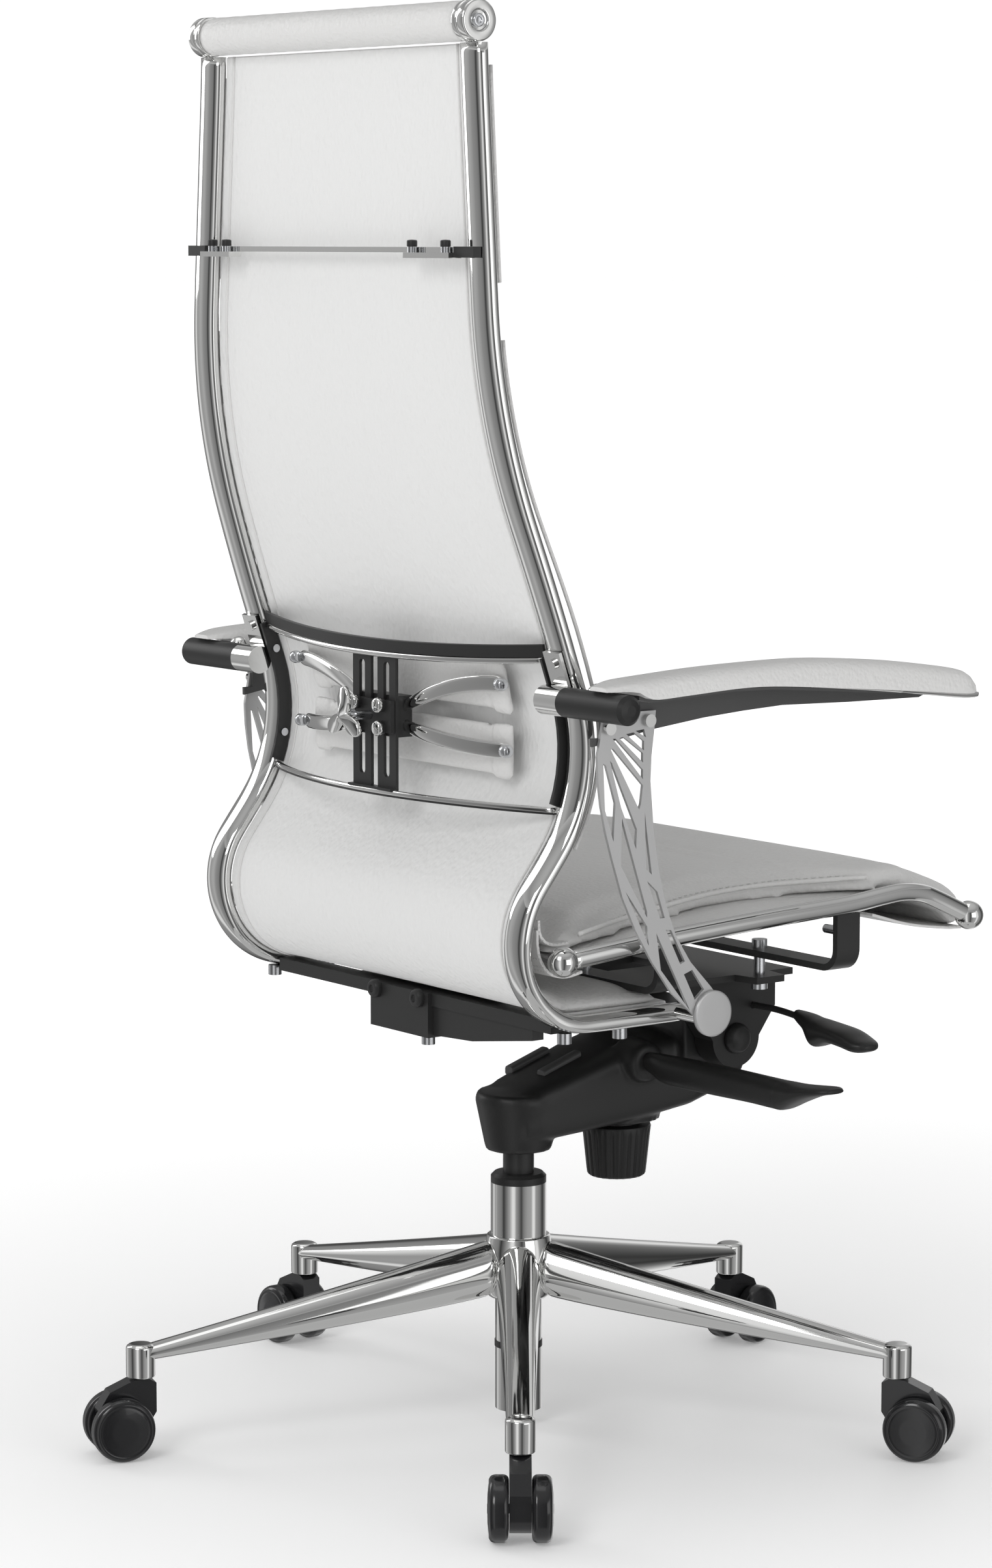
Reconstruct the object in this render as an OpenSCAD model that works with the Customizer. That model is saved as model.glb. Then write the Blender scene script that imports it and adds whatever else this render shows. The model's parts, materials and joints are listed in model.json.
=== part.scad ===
// Executive swivel chair: five-arm base on twin-wheel casters, gas column, tilt mechanism,
// two bent flat-oval back tubes, lumbar carriage, seat and perforated arm side plates.
// Frame: +Z up, chair front is -Y, sitter's right is -X, origin on the floor on the column axis.

/* [Base] */
// Distance from the column axis to each caster stem
base_radius = 350; // [300:5:370]
// Diameter of each caster wheel
wheel_d = 56; // [50:1:60]
// Width of one caster wheel
wheel_w = 17.5; // [14:0.5:19]
// Horizontal distance from caster stem to wheel axle
caster_trail = 20; // [15:1:25]

/* [Column] */
// Diameter of the sliding gas cylinder
cylinder_d = 28; // [26:1:30]
// Outer diameter of the column tube above the hub
column_d = 50; // [48:1:52]

/* [Seat] */
// Distance from the centre plane to each seat side tube
seat_tube_x = 243; // [235:1:250]
// Diameter of the seat side tubes
seat_tube_d = 16; // [14:1:18]
// Thickness of the seat cushion
cushion_t = 26; // [20:1:30]
// Width of each seat strap
strap_w = 26; // [20:1:30]

/* [Back] */
// Width of the flat-oval back tube, across the chair
tube_w = 30; // [26:1:32]
// Thickness of the flat-oval back tube
tube_t = 15; // [12:1:16]
// Diameter of the head roller
roller_d = 33; // [30:1:36]
// Depth of the front back pad at its fullest
back_pad_t = 34; // [20:1:40]

/* [Arms] */
// Distance from the centre plane to the inner face of the arm pad
arm_in = 272; // [268:1:280]
// Width of the arm pad
arm_w = 50; // [40:1:56]
// Diameter of the arm sleeve
sleeve_d = 25; // [22:1:28]

/* [Hidden] */
$fn = 40;
arm_turn = 143.3;
stem_r = 5.5;
run = 0.05;
pivot_y = -180;
pivot_z = 346;
sleeve_y = 133.5;
sleeve_z = 684.5;
knob_z = 655;
// Which sub-part to draw

// ---- helpers ----

// Extrudes a (Y, Z) outline from x0 to x1.
module yz(x0, x1) {
  translate([x0, 0, 0])
    rotate([90, 0, 90])
      linear_extrude(x1 - x0)
        children();
}

// Extrudes an (X, Z) outline from y0 to y1.
module xz(y0, y1) {
  translate([0, y1, 0])
    rotate([90, 0, 0])
      linear_extrude(y1 - y0)
        children();
}

module rod_x(x0, x1, y, z, r) {
  translate([x0, y, z])
    rotate([0, 90, 0])
      cylinder(h = x1 - x0, r = r);
}

module rod_y(y0, y1, x, z, r) {
  translate([x, y0, z])
    rotate([-90, 0, 0])
      cylinder(h = y1 - y0, r = r);
}

module rod_z(z0, z1, x, y, r) {
  translate([x, y, z0])
    cylinder(h = z1 - z0, r = r);
}

module both_sides() {
  children();
  mirror([1, 0, 0])
    children();
}

// ---- back tube centre line, as headings: 0 is straight down, positive turns to the front ----

// Each leg: steps, length or radius, turn (0 for a straight leg).
legs = [
  [6, 212.4, 0], [10, 572, 19.1], [4, 143.4, 0], [10, 140, -57.1], [1, 33.6, 0],
  [16, 74.7, 128], [1, 100, 0]
];

function step_len(leg) = leg[2] == 0 ? leg[1] / leg[0] : 2 * leg[1] * sin(abs(leg[2]) / leg[0] / 2);
function step_turn(leg) = leg[2] / leg[0];
steps = [for (leg = legs) for (i = [1 : leg[0]]) [step_len(leg), step_turn(leg)]];
function heading(n) = n == 0 ? 0 : heading(n - 1) + steps[n - 1][1];
headings = [for (i = [0 : len(steps)]) heading(i)];
function along(n, a) = steps[n][0] * [-sin(a), -cos(a)];
function station(n) = n == 0
  ? [191.5, 1222.4]
  : station(n - 1) + along(n - 1, headings[n] - steps[n - 1][1] / 2);
line = [for (i = [0 : len(steps)]) station(i)];
function out_dir(i) = [cos(headings[i]), -sin(headings[i])];
function half_gap(z) = lookup(z, [[408, 220], [457, 225], [520, 228], [780, 225.5], [830, 221.5],
  [1010, 207.5], [1230, 192]]);

// Points of the centre line moved to the rear by d, between two stations.
function shifted(d, i0, i1) = [for (i = [i0 : i1]) line[i] + d * out_dir(i)];
function backward(list) = [for (i = [len(list) - 1 : -1 : 0]) list[i]];

// Closed band between two depths behind the centre line.
module band(d0, d1, i0, i1) {
  polygon(concat(shifted(d0, i0, i1), backward(shifted(d1, i0, i1))));
}

// Band that swells to the front by t at lumbar height.
module swollen(d0, t, i0, i1) {
  front = [for (i = [i0 : i1])
    let (q = (line[i][1] - 725) / 90)
    line[i] - (17 + t * exp(-q * q)) * out_dir(i)];
  polygon(concat(shifted(-d0, i0, i1), backward(front)));
}

// Width limit of the back, inset from the tube centres by d.
module back_width(d) {
  zs = [380, 408, 457, 520, 780, 830, 1010, 1230];
  right = [for (z = zs) [half_gap(z) - d, z]];
  left = [for (i = [len(zs) - 1 : -1 : 0]) [d - half_gap(zs[i]), zs[i]]];
  xz(-200, 300)
    polygon(concat(right, left));
}

// Flat-oval section, half width a and half thickness b, as a list of (u, v).
function oval(a, b, n) = [for (i = [0 : n - 1])
  let (t = 360 * i / n, s = cos(t) >= 0 ? 1 : -1)
  [s * (a - b) + b * cos(t), b * sin(t)]];

// Sweeps a section along (Y, Z) stations pts, with sideways positions xs and headings hs.
module sweep(pts, xs, hs, sec) {
  n = len(sec);
  m = len(pts);
  points = [for (i = [0 : m - 1]) for (q = sec)
    [xs[i] + q[0], pts[i][0] + q[1] * cos(hs[i]), pts[i][1] - q[1] * sin(hs[i])]];
  sides = [for (i = [0 : m - 2]) for (k = [0 : n - 1])
    let (a = i * n + k, b = i * n + (k + 1) % n)
    each [[a, b, b + n], [a, b + n, a + n]]];
  first = [for (k = [n - 1 : -1 : 0]) k];
  last = [for (k = [0 : n - 1]) (m - 1) * n + k];
  polyhedron(points = points, faces = concat(sides, [first, last]));
}

// ---- base and column ----

module base_arm() {
  intersection() {
    rotate([90, 0, 0])
      translate([0, 0, -40])
        linear_extrude(80)
          polygon([[28, 172], [34, 171], [base_radius, 97], [base_radius, 82], [60, 118], [28, 121]]);
    translate([0, 0, 60])
      linear_extrude(130)
        polygon([[28, -10], [40, -22], [base_radius, -12], [base_radius, 12], [40, 22], [28, 10]]);
  }
}

module star_base() {
  color("silver")
    difference() {
      union() {
        rod_z(118, 174, 0, 0, 31);
        for (k = [0 : 4])
          rotate([0, 0, arm_turn + 72 * k]) {
            base_arm();
            rod_z(70, 99, base_radius, 0, 13);
          }
      }
      rotate_extrude()
        polygon([[0, 100], [21, 100], [21, 120], [column_d / 2, 174], [column_d / 2, 190], [0, 190]]);
      for (k = [0 : 4])
        rotate([0, 0, arm_turn + 72 * k])
          rod_z(60, 92, base_radius, 0, stem_r + run);
    }
}

module column_tube() {
  r = column_d / 2;
  color("lightgrey")
    rotate_extrude()
      polygon([[6, 14], [21, 14], [21, 120], [r, 174], [r, 222], [19, 222], [19, 20], [6, 20]]);
}

module guide_bush() {
  r = cylinder_d / 2 + run;
  color("dimgrey")
    rotate_extrude()
      polygon([[r, 150], [19, 150], [19, 222], [column_d / 2, 222], [column_d / 2, 228],
        [column_d / 2 - 3, 231], [r, 231]]);
}

module thrust_bearing() {
  color("grey")
    rotate_extrude()
      polygon([[5.1, 20], [17, 20], [17, 28], [5.1, 28]]);
}

module piston_rod() {
  color("silver")
    rotate_extrude()
      polygon([[0, 16], [5, 16], [5, 28.2], [12, 28.2], [12, 32], [5, 32], [5, 190], [10.9, 190],
        [10.9, 200], [0, 200]]);
}

module gas_cylinder() {
  r = cylinder_d / 2;
  color("black")
    rotate_extrude()
      polygon([[5.05, 70], [r, 70], [r, 296], [r - 2, 300], [0, 300], [0, 290], [11, 290], [11, 82],
        [5.05, 82]]);
}

// ---- tilt mechanism ----

module mechanism_housing() {
  r = cylinder_d / 2;
  color("dimgrey")
    difference() {
      union() {
        rotate_extrude()
          polygon([[0, 252], [29, 252], [30.5, 256], [39.5, 300], [37.5, 305], [0, 308]]);
        yz(-42, 42)
          polygon([[6, 302], [-20, 263], [-55, 265], [-168, 276], [-224, 300], [-232, 318],
            [-228, 345], [-150, 352], [-60, 333], [0, 312]]);
        yz(-60, 60)
          polygon([[-132, 322], [-160, 316], [-200, 318], [-216, 332], [-216, 356], [-204, 368],
            [-156, 368], [-132, 352]]);
        rod_z(268, 282, 0, -112, 40);
        translate([-62, -116, 318])
          cube([26, 32, 24]);
      }
      rod_z(240, 301, 0, 0, r);
      translate([-34, -150, 288])
        cube([68, 80, 90]);
      rod_x(-100, 100, pivot_y, pivot_z, 6);
      rod_z(240, 300, 0, -112, 5 + run);
      translate([-70, -108, 317])
        cube([24, 16, 26]);
      rod_y(-117, -83, -58, 330, 3);
    }
}

module tilt_spring() {
  color("silver")
    translate([0, -112, 0])
      rotate_extrude()
        polygon([[6, 288], [14, 288], [12, 292], [14, 296], [12, 300], [14, 304], [12, 308],
          [14, 312], [12, 316], [14, 320], [6, 320]]);
}

module pivot_pin() {
  color("silver")
    rod_x(-91, 91, pivot_y, pivot_z, 6);
}

module tension_knob() {
  color("black")
    difference() {
      union() {
        translate([0, -112, 214])
          cylinder(h = 48, r1 = 27, r2 = 32);
        rod_z(262, 267.5, 0, -112, 22);
      }
      for (k = [0 : 11])
        rotate_knob(k);
      rod_z(235, 270, 0, -112, 5);
    }
}

module rotate_knob(k) {
  translate([0, -112, 0])
    rotate([0, 0, 30 * k])
      rod_z(210, 256, 28.5, 0, 3);
}

module tension_screw() {
  color("silver")
    rod_z(235, 328, 0, -112, 5);
}

module height_lever() {
  color("black") {
    rod_y(-117, -83, -58, 330, 2.95);
    difference() {
      union() {
        rod_y(-107.5, -92.5, -58, 330, 8);
        intersection() {
          xz(-180, -60)
            polygon([[-56, 337], [-80, 339], [-145, 340], [-228, 337], [-262, 338], [-304, 341],
              [-306, 335], [-280, 329], [-256, 316], [-235, 313], [-95, 312], [-72, 318],
              [-56, 323]]);
          translate([0, 0, 290])
            linear_extrude(80)
              polygon([[-56, -93], [-80, -94], [-200, -97], [-250, -94], [-296, -98], [-304, -112],
                [-296, -128], [-250, -131], [-200, -122], [-80, -107], [-56, -107]]);
        }
      }
      rod_y(-117, -83, -58, 330, 2.95);
    }
  }
}

module lock_rod() {
  color("black") {
    rod_x(-172, -64, -200, 374, 3);
  }
}

module lock_paddle() {
  color("black")
    difference() {
      intersection() {
        xz(-230, -160)
          polygon([[-150, 379], [-166, 378], [-219, 373], [-248, 366], [-254, 360], [-248, 354],
            [-236, 352], [-205, 357], [-190, 350], [-182, 349], [-172, 360], [-162, 366],
            [-150, 369]]);
        translate([0, 0, 340])
          linear_extrude(60)
            polygon([[-150, -194], [-175, -188], [-205, -180], [-244, -178], [-254, -186],
              [-254, -206], [-244, -214], [-205, -214], [-175, -210], [-150, -206]]);
      }
      rod_x(-172, -140, -200, 374, 3);
    }
}

// ---- seat frame ----

module plate_slot(x, y, l) {
  translate([x, y, 400])
    linear_extrude(12) {
      translate([-l / 2, -5])
        square([l, 10]);
      translate([-l / 2, 0])
        circle(5);
      translate([l / 2, 0])
        circle(5);
    }
}

module top_plate() {
  color("black")
    difference() {
      translate([0, 0, 403])
        linear_extrude(6)
          polygon([[-110, -228], [110, -228], [110, -200], [136, -196], [136, -164], [110, -160],
            [110, 0], [136, 4], [136, 36], [110, 40], [110, 100], [-110, 100], [-110, 40],
            [-136, 36], [-136, 4], [-110, 0], [-110, -160], [-136, -164], [-136, -196],
            [-110, -200]]);
      for (s = [-1, 1]) {
        plate_slot(s * 45, -30, 60);
        plate_slot(s * 45, -60, 60);
        plate_slot(s * 60, 60, 50);
        plate_slot(s * 60, 30, 40);
        rod_z(400, 412, s * 120, -180, 4);
        rod_z(400, 412, s * 120, 20, 4);
      }
      translate([-26, -150, 400])
        cube([52, 90, 12]);
    }
}

module pivot_ears() {
  color("black")
    both_sides()
      difference() {
        yz(62, 88)
          union() {
            translate([pivot_y, pivot_z])
              circle(27);
            polygon([[-207, 346], [-226, 372], [-226, 403], [-125, 403], [-135, 372], [-153, 346]]);
          }
        rod_x(60, 91, pivot_y, pivot_z, 6 + run);
        rod_x(60, 91, -200, 374, 3 + run);
      }
}

// Strap outline in (X, Z): a flat run with two upright legs.
module u_outline(h, z0, z1, r) {
  translate([-h, z0 + r])
    square([2 * h, z1 - z0 - r]);
  translate([r - h, z0])
    square([2 * h - 2 * r, r + 1]);
  translate([r - h, z0 + r])
    circle(r);
  translate([h - r, z0 + r])
    circle(r);
}

module strap(y, z1) {
  difference() {
    xz(y - strap_w / 2, y + strap_w / 2)
      difference() {
        u_outline(240.5, 427, z1, 20);
        u_outline(234.5, 433, z1 + 5, 14);
      }
    rod_z(420, 440, 120, y, 4);
    rod_z(420, 440, -120, y, 4);
  }
}

module front_strap() {
  color("black")
    strap(-180, 478.6);
}

module rear_strap() {
  color("black")
    strap(20, 467.9);
}

module strap_bolt(x, y) {
  rod_z(396, 433, x, y, 4);
  rod_z(433, 441, x, y, 7);
  rod_z(396, 403, x, y, 7.5);
  rod_z(409, 427, x, y, 5);
}

module strap_bolts() {
  color("silver")
    both_sides() {
      strap_bolt(120, -180);
      strap_bolt(120, 20);
      rod_x(210, 234.5, -180, 462, 4);
    }
}

seat_line = [[134.5, 467.7], [60, 474], [-28, 480], [-100, 484], [-175, 487.2], [-215, 491],
  [-240, 492.6], [-262, 490], [-280, 483.5], [-317, 466.4]];
function turn_at(list, i) =
  let (a = list[max(i - 1, 0)], b = list[min(i + 1, len(list) - 1)])
  atan2(a[0] - b[0], a[1] - b[1]);
function turns(list) = [for (i = [0 : len(list) - 1]) turn_at(list, i)];

module seat_tube(s) {
  r = seat_tube_d / 2;
  union() {
    sweep(seat_line, [for (p = seat_line) s * seat_tube_x], turns(seat_line), oval(r, r, 20));
    translate([s * seat_tube_x, 137, 467.6])
      sphere(r = 13);
    translate([s * seat_tube_x, -320, 465])
      sphere(r = 13);
  }
}

module seat_tube_left() {
  color("silver")
    seat_tube(1);
}

module seat_tube_right() {
  color("silver")
    seat_tube(-1);
}

module seat_cushion() {
  w = seat_tube_x - seat_tube_d / 2 - 1;
  t = cushion_t;
  top = [
    [146, 470], [140, 468 + t], [60, 473 + t], [-40, 479 + t], [-140, 484 + t], [-220, 488 + t],
    [-262, 486 + t], [-300, 476 + t], [-326, 492], [-342, 474]
  ];
  flap = [
    [-338, 459], [-320, 449], [-262, 459], [-217, 472], [-217, 475], [-262, 462.5], [-302, 459]
  ];
  under = [
    [-300, 463], [-262, 481], [-230, 484], [-140, 478], [-40, 473], [60, 466], [130, 459], [142, 460]
  ];
  color("whitesmoke")
    difference() {
      yz(-w, w)
        polygon(concat(top, flap, under));
      for (s = [-1, 1]) {
        translate([s * seat_tube_x, 137, 467.6])
          sphere(r = 13.5);
        translate([s * seat_tube_x, -320, 465])
          sphere(r = 13.5);
      }
    }
}

// ---- back ----

module back_tube(s) {
  sweep(line, [for (p = line) s * half_gap(p[1])], headings, oval(tube_w / 2, tube_t / 2, 24));
}

module back_tube_left() {
  color("silver")
    back_tube(1);
}

module back_tube_right() {
  color("silver")
    back_tube(-1);
}

module back_panel() {
  color("white")
    difference() {
      intersection() {
        yz(-240, 240)
          band(-7.8, -3.5, 0, len(line) - 1);
        back_width(tube_w / 2 + 0.3);
      }
      rod_z(400, 425, 120, 20, 9.5);
      rod_z(400, 425, -120, 20, 9.5);
    }
}

module head_pad() {
  color("whitesmoke")
    intersection() {
      yz(-240, 240)
        swollen(8, 0, 0, 5);
      back_width(-2);
    }
}

module back_pad() {
  color("whitesmoke")
    intersection() {
      yz(-240, 240)
        swollen(8, back_pad_t - 17, 5, 30);
      back_width(-2);
    }
}

module head_roller() {
  color("whitesmoke")
    rod_x(-188, 188, 194, 1240, roller_d / 2);
}

module roller_caps() {
  r = roller_d / 2;
  color("silver")
    both_sides() {
      difference() {
        rod_x(188, 204.5, 194, 1240, r + 0.8);
        rod_x(202, 206, 194, 1240, 8);
      }
      rod_x(202, 204, 194, 1240, 4.5);
    }
}

module upper_bar() {
  color("silver") {
    translate([-186, 199.1, 1053])
      cube([372, 5, 4.5]);
    translate([-186, 199.1, 1048.5])
      cube([64, 13, 4.5]);
    translate([140, 199.1, 1048.5])
      cube([46, 13, 4.5]);
  }
}

module upper_bar_blocks() {
  color("black")
    both_sides()
      translate([186, 199.1, 1049])
        cube([27, 8, 9]);
}

module lower_bar() {
  color("black") {
    translate([-204.5, 100, 399])
      cube([409, 20, 11.5]);
  }
}

module lower_bracket() {
  color("black")
    union() {
      difference() {
        translate([-33, 104, 371])
          cube([87, 20, 39.5]);
        translate([-29, 100, 375])
          cube([79, 20, 23.9]);
        translate([-40, 100, 398.9])
          cube([100, 20, 20]);
      }
      xz(106, 118)
        polygon([[-33, 373], [-90, 376], [-176, 389], [-176, 398.8], [-33, 398.8]]);
    }
}

module tube_bolt(y, z) {
  rod_z(z - 9, z, 218, y, 6.2);
}

module frame_screws() {
  color("silver") {
    both_sides() {
      tube_bolt(57, 400.3);
      tube_bolt(116, 402);
      rod_x(205.4, 207.9, 120.5, 695, 3.6);
      rod_x(205.4, 207.9, 112, 618, 3.6);
    }
    rod_y(124, 127.5, -21, 404, 4.5);
    rod_y(124, 127.5, 45, 404, 4.5);
    rod_z(363, 371, -20, 114, 6);
    for (x = [-177, -130, 149, 171])
      rod_z(1053, 1062, x, 208.5, 4);
  }
}

// ---- lumbar support ----

// Plan of a bowed rail: ends at y0, middle set back by sag, thickness t.
module bow(y0, sag, t, z0, z1) {
  h = 207.8;
  r = (h * h + sag * sag) / (2 * sag);
  intersection() {
    translate([0, y0 + sag - r, z0])
      difference() {
        cylinder(h = z1 - z0, r = r, $fn = 120);
        translate([0, 0, -1])
          cylinder(h = z1 - z0 + 2, r = r - t, $fn = 120);
      }
    translate([-h, y0 - 30, z0 - 5])
      cube([2 * h, sag + 60, z1 - z0 + 10]);
  }
}

module lumbar_rails() {
  color("silver") {
    translate([0, 131, 723.5])
      rotate([-13, 0, 0]) {
        bow(0, 33, 3, -5, 6);
        bow(1, 33, 5, -10, -5);
      }
    bow(121, 42, 5, 586, 591);
  }
}

module lumbar_strips() {
  color("black")
    both_sides()
      yz(207.9, 210.8)
        band(-2.5, 11, 19, 27);
}

module lumbar_guide() {
  difference() {
    translate([5, 153.9, 592])
      cube([27, 3, 121]);
    translate([14, 150, 606])
      cube([8.5, 12, 92]);
    rod_y(150, 162, 18.25, 606, 4.25);
    rod_y(150, 162, 18.25, 698, 4.25);
  }
}

module lumbar_guides() {
  color("black") {
    both_sides()
      lumbar_guide();
    translate([-32, 153.9, 591])
      cube([64, 9, 2]);
    translate([-32, 153.9, 710])
      cube([64, 3, 3]);
  }
}

module lumbar_slider() {
  color("black")
    difference() {
      union() {
        translate([-30, 138, 637])
          cube([60, 15.6, 36]);
        translate([-31, 157.2, 641])
          cube([62, 4.5, 28]);
        for (x = [-18.25, 18.25])
          for (z = [645, 665]) {
            rod_y(150, 162, x, z, 4.2);
            rod_y(161.7, 165, x, z, 6);
          }
      }
      rod_y(130, 170, 0, knob_z, 4 + run);
    }
}

function ease(t) = 1 - (1 - t) * (1 - t);
arm_ts = [for (i = [0 : 10]) i / 10];

// One flat lumbar arm rising or falling from z0 to z1 as it runs outward.
module flat_arm(z0, z1, y1) {
  intersection() {
    xz(110, 160)
      polygon(concat(
        [for (t = arm_ts) [30 + 120 * t, z0 + (z1 - z0) * ease(t) + 6]],
        [for (t = backward(arm_ts)) [30 + 120 * t, z0 + (z1 - z0) * ease(t) - 6]]));
    translate([0, 0, 600])
      linear_extrude(120)
        polygon(concat(
          [for (t = arm_ts) [30 + 120 * t, 144 + (y1 - 144) * t * t]],
          [for (t = backward(arm_ts)) [30 + 120 * t, 141.5 + (y1 - 144) * t * t]]));
  }
}

module lumbar_arms() {
  color("silver")
    both_sides() {
      flat_arm(664, 692, 130.5);
      flat_arm(647, 635, 125);
      rod_x(147, 155, 133.4, 692, 3);
      rod_x(147, 155, 127.9, 635, 3);
    }
}

module lumbar_pads() {
  color("whitesmoke") {
    translate([-150, 121.5, 688])
      rotate([-14, 0, 0])
        translate([0, -4, -27])
          cube([300, 8, 54]);
    translate([-150, 113.4, 606])
      cube([300, 8, 54]);
  }
}

module lumbar_knob() {
  color("silver") {
    rod_y(142, 186, 0, knob_z, 4);
    xz(186, 197)
      translate([0, knob_z]) {
        circle(10);
        for (k = [0 : 2])
          rotate([0, 0, 90 + 120 * k]) {
            translate([0, -5.5])
              square([20, 11]);
            translate([20, 0])
              circle(6.5);
          }
      }
  }
}

// ---- arms ----

module arm_clamps() {
  color("silver")
    both_sides() {
      rod_x(213.6, 243, sleeve_y, sleeve_z, sleeve_d / 2);
      translate([226, 120.5, 684.8])
        rotate([-19.1, 0, 0]) {
          translate([-11, 0, 2])
            cube([22, 3, 41]);
          rod_y(3, 5.5, 0, 33, 4.5);
        }
    }
}

module arm_sleeves() {
  color("black")
    both_sides() {
      translate([243, sleeve_y, sleeve_z])
        rotate([0, 90, 0])
          rotate_extrude()
            polygon([[0, 0], [sleeve_d / 2, 0], [sleeve_d / 2, 82], [sleeve_d / 2 - 3, 85],
              [sleeve_d / 2 - 8, 86.5], [0, 86.5]]);
    }
}

pad_low = [
  [143, 698.2], [120.5, 698.2], [112, 694], [100, 691], [66, 692.5], [11, 695], [-31, 694],
  [-103, 688], [-180, 681], [-240, 675], [-254, 675]
];
pad_top = [
  [-258, 679], [-257, 687], [-250, 692.5], [-240, 696], [-216, 700], [-171, 706], [-127, 710],
  [-83, 713], [-40, 713.5], [31, 712], [86, 709], [118, 706.5], [143, 702]
];
rail_low = [[-254, 672], [-240, 667], [-158, 668], [-84, 670], [-41, 668], [2, 665], [55, 659],
  [121, 648]];

module arm_web(s) {
  x0 = 258.5;
  mirror([s < 0 ? 1 : 0, 0, 0])
    difference() {
      union() {
        yz(x0, x0 + 3)
          polygon(concat([for (p = pad_low) p - [0, 0.2]], rail_low, [[122, 690]]));
        yz(x0 + 3, 312)
          polygon(concat([for (p = pad_low) p - [0, 0.2]], backward([for (p = pad_low) p - [0, 3.2]])));
      }
      rod_x(250, 330, sleeve_y, sleeve_z, sleeve_d / 2);
      translate([255, 112, 655])
        cube([70, 40, 80]);
    }
}

module arm_web_left() {
  color("dimgrey")
    arm_web(1);
}

module arm_web_right() {
  color("dimgrey")
    arm_web(-1);
}

module side_outline() {
  difference() {
    union() {
      polygon([[112, 670], [118, 640], [117, 620], [114, 598], [109, 576], [102, 553], [91, 520],
        [77, 491], [59, 462], [38, 434], [5, 405], [-18, 420], [-4, 436], [18, 459], [34, 483],
        [45, 511], [52, 538], [58, 571], [60, 594], [62, 616], [61, 637], [58, 660], [56, 681]]);
      translate([-8, 413])
        circle(18);
    }
    polygon([[78, 659], [69, 660], [67, 653]]);
    polygon([[88, 657], [80, 658], [69, 650], [69, 642]]);
    polygon([[95, 654], [91, 655], [70, 640], [70, 632]]);
    polygon([[102, 654], [99, 654], [70, 626], [70, 618]]);
    polygon([[104, 645], [102, 646], [70, 613], [72, 597], [74, 593]]);
    polygon([[105, 636], [103, 634], [76, 576], [77, 560], [93, 596]]);
    polygon([[112, 634], [109, 632], [99, 600], [101, 568], [110, 595]]);
    polygon([[92, 587], [65, 506], [65, 501], [93, 547]]);
    polygon([[68, 590], [60, 537], [66, 542]]);
    polygon([[65, 532], [54, 522], [46, 499], [51, 499]]);
    polygon([[88, 525], [65, 494], [63, 477]]);
    polygon([[55, 487], [18, 417], [50, 455]]);
    polygon([[45, 489], [39, 488], [24, 460], [29, 458]]);
    polygon([[25, 449], [16, 452], [3, 434], [13, 426]]);
  }
}

module side_plate(s) {
  mirror([s < 0 ? 1 : 0, 0, 0])
    difference() {
      yz(261.7, 264.7)
        side_outline();
      yz(261, 266)
        polygon([[50, 675], [130, 675], [130, 700], [50, 700]]);
    }
}

module side_plate_left() {
  color("lightgrey")
    side_plate(1);
}

module side_plate_right() {
  color("lightgrey")
    side_plate(-1);
}

module arm_pad(s) {
  mirror([s < 0 ? 1 : 0, 0, 0])
    yz(arm_in, arm_in + arm_w)
      polygon(concat(pad_low, pad_top));
}

module arm_pad_left() {
  color("whitesmoke")
    arm_pad(1);
}

module arm_pad_right() {
  color("whitesmoke")
    arm_pad(-1);
}

module arm_bolts() {
  color("silver")
    both_sides() {
      rod_x(264.7, 269, 107, 663, 5.5);
      rod_x(264.7, 269, 65, 667, 5.5);
      rod_x(235.2, 261.7, 6, 410, 6);
      rod_x(264.7, 268, -8, 413, 6);
    }
}

// ---- casters ----

module at_caster(k) {
  rotate([0, 0, arm_turn + 72 * (k - 1)])
    translate([base_radius, 0, 0])
      children();
}

module caster_body(k) {
  r = wheel_d / 2;
  color("black")
    at_caster(k)
      difference() {
        union() {
          rotate([90, 0, 0])
            translate([0, 0, -9.2])
              linear_extrude(18.4)
                union() {
                  translate([caster_trail, r])
                    circle(20);
                  polygon([[-12, 40], [-12, 66], [-6, 69.6], [8, 69.6], [30, 60], [40, 44], [38, 30],
                    [0, 22]]);
                }
          rod_z(60, 90, 0, 0, stem_r);
          translate([caster_trail, -27.5, r])
            rotate([-90, 0, 0])
              cylinder(h = 55, r = 4);
        }
        rod_z(-5, 4, caster_trail, 0, 30);
      }
}

module wheel(y) {
  r = wheel_d / 2;
  translate([caster_trail, y, r])
    rotate([-90, 0, 0])
      rotate_extrude()
        polygon([[4.05, 1.5], [20, 0.5], [22, 0], [r - 3, 0], [r, 3], [r, wheel_w - 5],
          [r - 5, wheel_w], [18, wheel_w - 1], [4.05, wheel_w - 1]]);
}

module caster_wheels(k) {
  color("dimgrey")
    at_caster(k) {
      wheel(9.6);
      mirror([0, 1, 0])
        wheel(9.6);
    }
}

module caster_body_1() {
  caster_body(1);
}

module caster_body_2() {
  caster_body(2);
}

module caster_body_3() {
  caster_body(3);
}

module caster_body_4() {
  caster_body(4);
}

module caster_body_5() {
  caster_body(5);
}

module caster_wheels_1() {
  caster_wheels(1);
}

module caster_wheels_2() {
  caster_wheels(2);
}

module caster_wheels_3() {
  caster_wheels(3);
}

module caster_wheels_4() {
  caster_wheels(4);
}

module caster_wheels_5() {
  caster_wheels(5);
}

// ---- the part ----

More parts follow.
